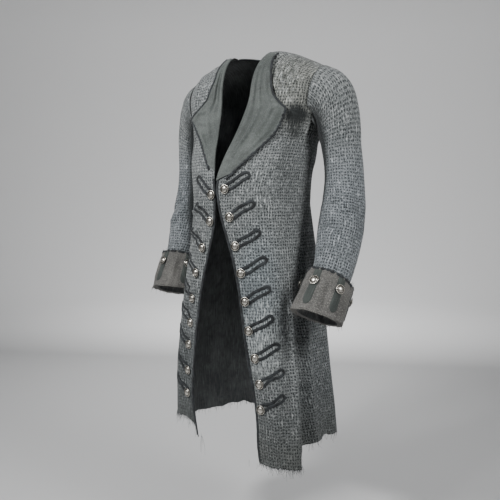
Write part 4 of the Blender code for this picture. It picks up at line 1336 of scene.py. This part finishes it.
def place_button(pattern, node, place, normal, spin):
    """A copy of the button with its own mesh, standing on the cloth."""
    piece = bpy.data.objects.new(node + "_metal", pattern.data.copy())
    bpy.context.scene.collection.objects.link(piece)
    first = unit(np.cross((math.sin(spin), 0.2, math.cos(spin)), normal))
    turned = np.stack([first, np.cross(normal, first), normal], axis=1)
    corners = np.zeros(len(piece.data.vertices) * 3, np.float32)
    piece.data.vertices.foreach_get("co", corners)
    corners = corners.reshape(-1, 3) @ turned.T + place
    piece.data.vertices.foreach_set("co", corners.reshape(-1).astype(np.float32))
    piece.data.update()
    settle(piece, "button_metal", node)


def all_buttons():
    pattern = make_button()
    for side in SIDES:
        for number, row in enumerate(rows_of(BUTTONS), 1):
            level = row[side]
            x = read(FRONT_EDGE, side, level) + row[f"{side}_inset"]
            place, normal = on_front(side, x, level, WALL / 2 + BUTTON_SEAT)
            place_button(pattern, f"button_{side}_{number}", place, normal, 0.4 * number)
        for number, turn in enumerate(CUFF_BUTTON_TURNS[side], 1):
            place, around, below = (
                cuff_point(side, turn + step, CUFF_BUTTON_PLACE + lower, WALL / 2 + TAB_RISE + 0.0002)
                for step, lower in ((0, 0), (1, 0), (0, 0.02))
            )
            normal = unit(np.cross(around - place, below - place))
            inside = ring(cuff_row(side, CUFF_BUTTON_PLACE), side, -turn, -0.03)
            normal *= np.sign(normal @ (place - inside))
            place_button(pattern, f"cuff_button_{side}_{number}", place, normal, 0.7 * number)
    bpy.data.objects.remove(pattern)


# Sewing and loose threads

def strands(name, lines, sides, finish, slot, radius):
    """Many thin strands made one piece, each a line of points and its thickness at each of them."""
    corners, faces = [], []
    angles = 2 * math.pi * np.arange(sides) / sides
    for line, shares in lines:
        line = np.array(line)
        way = np.gradient(line, axis=0)
        way /= np.linalg.norm(way, axis=1, keepdims=True) + 1e-12
        first = unit(np.cross(way, (0.31, 0.87, 0.38)))
        second = np.cross(way, first)
        start = len(corners)
        for point, a, b, share in zip(line, first, second, shares):
            for angle in angles:
                corners.append(point + radius * share * (a * math.cos(angle) + b * math.sin(angle)))
        for low in range(start, start + (len(line) - 1) * sides, sides):
            for k in range(sides):
                m = (k + 1) % sides
                faces.append((low + k, low + m, low + sides + m, low + sides + k))
        faces.append(tuple(start + k for k in reversed(range(sides))))
        faces.append(tuple(len(corners) - sides + k for k in range(sides)))
    mesh = bpy.data.meshes.new(name)
    mesh.from_pydata([tuple(c) for c in corners], [], faces)
    layer = mesh.uv_layers.new(name="cloth")
    flat = np.zeros((len(mesh.loops), 2), np.float32)
    flat[:, 0] = np.arange(len(mesh.loops)) * 0.0007 % 0.05
    layer.uv.foreach_set("vector", flat.reshape(-1))
    mesh.materials.append(finish)
    piece = bpy.data.objects.new(name, mesh)
    bpy.context.scene.collection.objects.link(piece)
    edit(piece, face_outward)
    bpy.ops.object.shade_smooth_by_angle(angle=math.radians(60))
    settle(piece, slot)


STITCH_RISE = 0.0003
# How far apart the stitches are and how long each is
STITCHES = {
    "front": (0.0052, 0.0030),
    "lapel": (0.0056, 0.0030),
    "cuff": (0.0058, 0.0032),
    "tab": (0.0040, 0.0024),
}
TAB_STITCH_TURN = 7.6


def stitch_line(points, normals, place):
    """Stitches along a line, each a short spindle that dips into the cloth at its ends."""
    pitch, length = STITCHES[place]
    run = run_of(points)
    lift = np.array([-0.6, 0.5, 0.8, 0.5, -0.6])[:, None] * STITCH_RISE
    found = []
    for at in np.arange(pitch, run[-1] - pitch, pitch):
        spots = [at - length / 2, at - length / 4, at, at + length / 4, at + length / 2]
        centre = np.stack([np.interp(spots, run, points[:, k]) for k in range(3)], axis=1)
        up = np.array([np.interp(at, run, normals[:, k]) for k in range(3)])
        found.append((centre + up * lift, (0.5, 1, 1, 1, 0.5)))
    return found


def sewing():
    stitches = []
    for side in SIDES:
        levels = np.linspace(-0.40, float(HEMS[f"front_{side}"][1][0]) + 0.01, 200)
        inset = read(FRONT_EDGE, side, levels) + 0.0078
        stitches += stitch_line(*on_front(side, inset, levels, WALL / 2), "front")
        levels = np.linspace(LAPELS[side][1][0] + 0.02, LAPELS[side][-1][0] - 0.004, 160)
        points = lapel_point(side, np.full(levels.shape, 0.93), levels, FACING_WALL / 2)
        stitches += stitch_line(points, on_front(side, 0.1, levels)[1], "lapel")
        for share in (0.085, 0.955):
            turns = np.linspace(0, 360, 200)
            stitches += stitch_line(*cuff_outward(side, turns, share, WALL / 2), "cuff")
        for middle in CUFF_BUTTON_TURNS[side]:
            for edge_turn in (-TAB_STITCH_TURN, TAB_STITCH_TURN):
                shares = np.linspace(TAB_PLACES[0], TAB_PLACES[1] - 0.10, 30)
                points = cuff_point(side, middle + edge_turn, shares, WALL / 2 + TAB_RISE + 0.0004)
                out = unit(points - ring(cuff_row(side, shares), side, np.full(30, -middle), 0.0))
                stitches += stitch_line(points, out, "tab")
    strands("stitches", stitches, 4, FINISH["thread"], "braid", 0.00038)


# Loose threads that hang low: turn, level and length
LONG_THREADS = {
    "left": (
        (31.0, -1.232, 0.024),
        (38.0, -1.238, 0.022),
        (59.0, -1.244, 0.030),
        (60.0, -1.244, 0.026),
        (61.0, -1.242, 0.030),
        (70.0, -1.236, 0.020),
    ),
    "right": (
        (24.0, -1.198, 0.060),
        (24.5, -1.196, 0.068),
        (25.0, -1.194, 0.048),
        (25.6, -1.190, 0.036),
        (40.0, -1.150, 0.024),
        (62.0, -1.150, 0.022),
    ),
}
# The level at which each lapel's frayed edge starts, and how many threads stand out of it
LAPEL_FRAYS = {"left": (-0.385, 110), "right": (-0.355, 50)}
HEM_FRAYS = {"front": 260, "back": 200}


def hanging(random, start, length, sway, drop=(0, 0, -1)):
    """A loose thread hanging from a point."""
    steps = np.linspace(0, 1, 6)[:, None]
    side_way, curl = random.normal(0, 1, (2, 3)) * sway
    bent = side_way * steps**1.5 + curl * np.sin(3 * steps) * 0.4
    return start + (np.array(drop) * steps + bent) * length, np.linspace(1.0, 0.45, 6)


def hem_threads(random):
    threads = []
    for side in SIDES:
        for half, count in HEM_FRAYS.items():
            places, heights = HEMS[f"{half}_{side}"]
            for across in random.uniform(0.01, 0.98, count):
                level = np.array(float(np.interp(across, places, heights)))
                edge = read(FRONT_EDGE, side, level)
                start = float(turn_at(side, edge, level)) if half == "front" else 180.0
                turn = np.array(start + (float(side_turn(side, level, half)) - start) * across)
                point, normal = lying(side, turn, level + 0.003)
                length = random.gamma(2.0, 0.0042) + 0.004
                point = point + normal * random.uniform(-0.001, 0.001)
                threads.append(hanging(random, point, length, 0.22))
        for turn, level, length in LONG_THREADS[side]:
            point = lying(side, np.array(turn), np.array(level))[0]
            threads.append(hanging(random, point, length, 0.09))
    return threads


def trim_threads(random):
    """Threads standing out of the worn edges of the lapels and cuffs."""
    dark, pale = [], []
    for side in SIDES:
        lowest, count = LAPEL_FRAYS[side]
        for level in random.uniform(lowest, -0.195, count):
            inner, outer = (lapel_point(side, np.array(share), np.array(level)) for share in (0.9, 1.0))
            aside = unit(outer - inner)
            length = random.gamma(2.0, 0.0020) + 0.003
            drop = aside * 0.8 + (0, -0.1, -0.6)
            dark.append(hanging(random, outer + aside * 0.002, length, 0.35, drop))
        for turn in random.uniform(0, 360, 90):
            point = cuff_point(side, turn, 0.0, WALL / 2 + 0.001)
            up = unit(cuff_point(side, turn, 0.0, 0.004) - cuff_point(side, turn, 0.06, 0.0))
            dark.append(hanging(random, point, random.gamma(2.0, 0.0016) + 0.002, 0.35, up))
        for turn in random.uniform(0, 360, 150):
            point = cuff_point(side, turn, 0.985 - worn_edge(side, turn), 0.0)
            length = random.gamma(2.0, 0.0022) + 0.003
            pale.append(hanging(random, point, length, 0.30, (0, -0.3, -0.9)))
    return dark, pale


def frays():
    random = np.random.default_rng(7)
    dark, pale = trim_threads(random)
    strands("frayed_trim", dark, 3, FINISH["thread"], "braid", 0.00042)
    strands("frayed_cuffs", pale, 3, FINISH["cuff"], "cuff_cloth", 0.00040)
    strands("frayed_hems", hem_threads(random), 3, FINISH["fray"], "shell_cloth", 0.00042)


# Putting the coat together


for side in SIDES:
    front, back = panel(side, "front", 136), panel(side, "back", 120)
    lapel(side)
    upper, under = sleeve(side)
    turned_cuff = cuff(side)
    for number, row in enumerate(rows_of(BUTTONS), 1):
        loop(side, number, read(FRONT_EDGE, side, row[side]) + row[f"{side}_inset"], row[side])
    for number, middle in enumerate(CUFF_BUTTON_TURNS[side], 1):
        tab(side, number, middle)
    front_binding(side)
    lapel_binding(side)
    cuff_binding(side)
neck_binding()
all_buttons()
sewing()
frays()


# Studio: a pale floor that rises softly into a wall all round, and four large soft lights

FLOOR_LEVEL = -1.60
ROOM_RADIUS = 9
ROOM_HEIGHT = 9
# Name, place, aim, size and power
LIGHTS = (
    ("key", (-0.50, -1.9, 0.95), (0, 0, -0.4), 0.55, 66),
    ("side", (2.0, -0.3, 0.40), (0.3, 0, -0.4), 0.8, 29),
    ("rim", (-1.8, 2.4, 0.7), (0, 0, -0.6), 1.2, 60),
    ("backdrop", (-1.6, 2.2, 1.2), (-4.6, 8.0, 0.2), 1.8, 300),
)


def room():
    material = bpy.data.materials.new("studio floor")
    material.use_nodes = True
    shader = material.node_tree.nodes["Principled BSDF"]
    shader.inputs["Base Color"].default_value = (0.62, 0.62, 0.62, 1)
    shader.inputs["Roughness"].default_value = 0.9
    bpy.ops.object.select_all(action="DESELECT")
    bpy.ops.mesh.primitive_cylinder_add(
        vertices=96,
        radius=ROOM_RADIUS,
        depth=ROOM_HEIGHT,
        end_fill_type="NGON",
        location=(0, 0, FLOOR_LEVEL + ROOM_HEIGHT / 2),
    )
    floor = bpy.context.object
    floor.name = "studio_floor"
    bpy.ops.object.transform_apply(location=True, rotation=False, scale=False)
    bpy.ops.object.mode_set(mode="EDIT")
    bpy.ops.mesh.select_mode(type="FACE")
    bpy.ops.mesh.select_all(action="DESELECT")
    bpy.ops.object.mode_set(mode="OBJECT")
    for polygon in floor.data.polygons:
        polygon.select = polygon.normal.z > 0.9
    bpy.ops.object.mode_set(mode="EDIT")
    bpy.ops.mesh.delete(type="FACE")
    select_all()
    bpy.ops.mesh.flip_normals()
    bpy.ops.object.mode_set(mode="OBJECT")
    corner = floor.modifiers.new("rounded corner", "BEVEL")
    corner.width = 4.0
    corner.segments = 24
    corner.limit_method = "ANGLE"
    apply_all(floor)
    floor.data.materials.clear()
    floor.data.materials.append(material)


def lights():
    for name, place, aim, size, power in LIGHTS:
        lamp = bpy.data.lights.new(name, "AREA")
        lamp.shape = "DISK"
        lamp.size = size
        lamp.energy = power
        light = bpy.data.objects.new(name, lamp)
        bpy.context.scene.collection.objects.link(light)
        light.location = place
        light.rotation_mode = "QUATERNION"
        light.rotation_quaternion = (Vector(aim) - Vector(place)).to_track_quat("-Z", "Y")
    world = bpy.data.worlds.new("studio")
    world.use_nodes = True
    world.node_tree.nodes["Background"].inputs["Color"].default_value = (0.78, 0.86, 1.0, 1)
    world.node_tree.nodes["Background"].inputs["Strength"].default_value = 0.07
    bpy.context.scene.world = world


room()
lights()

camera_data = bpy.data.cameras.new("camera")
camera_data.lens = 43.92
camera_data.sensor_width = 36
camera = bpy.data.objects.new("camera", camera_data)
bpy.context.scene.collection.objects.link(camera)
camera.location = (1.114, -1.655, -0.457)
camera.rotation_euler = (math.radians(85.3), 0, math.radians(35))
bpy.context.scene.camera = camera
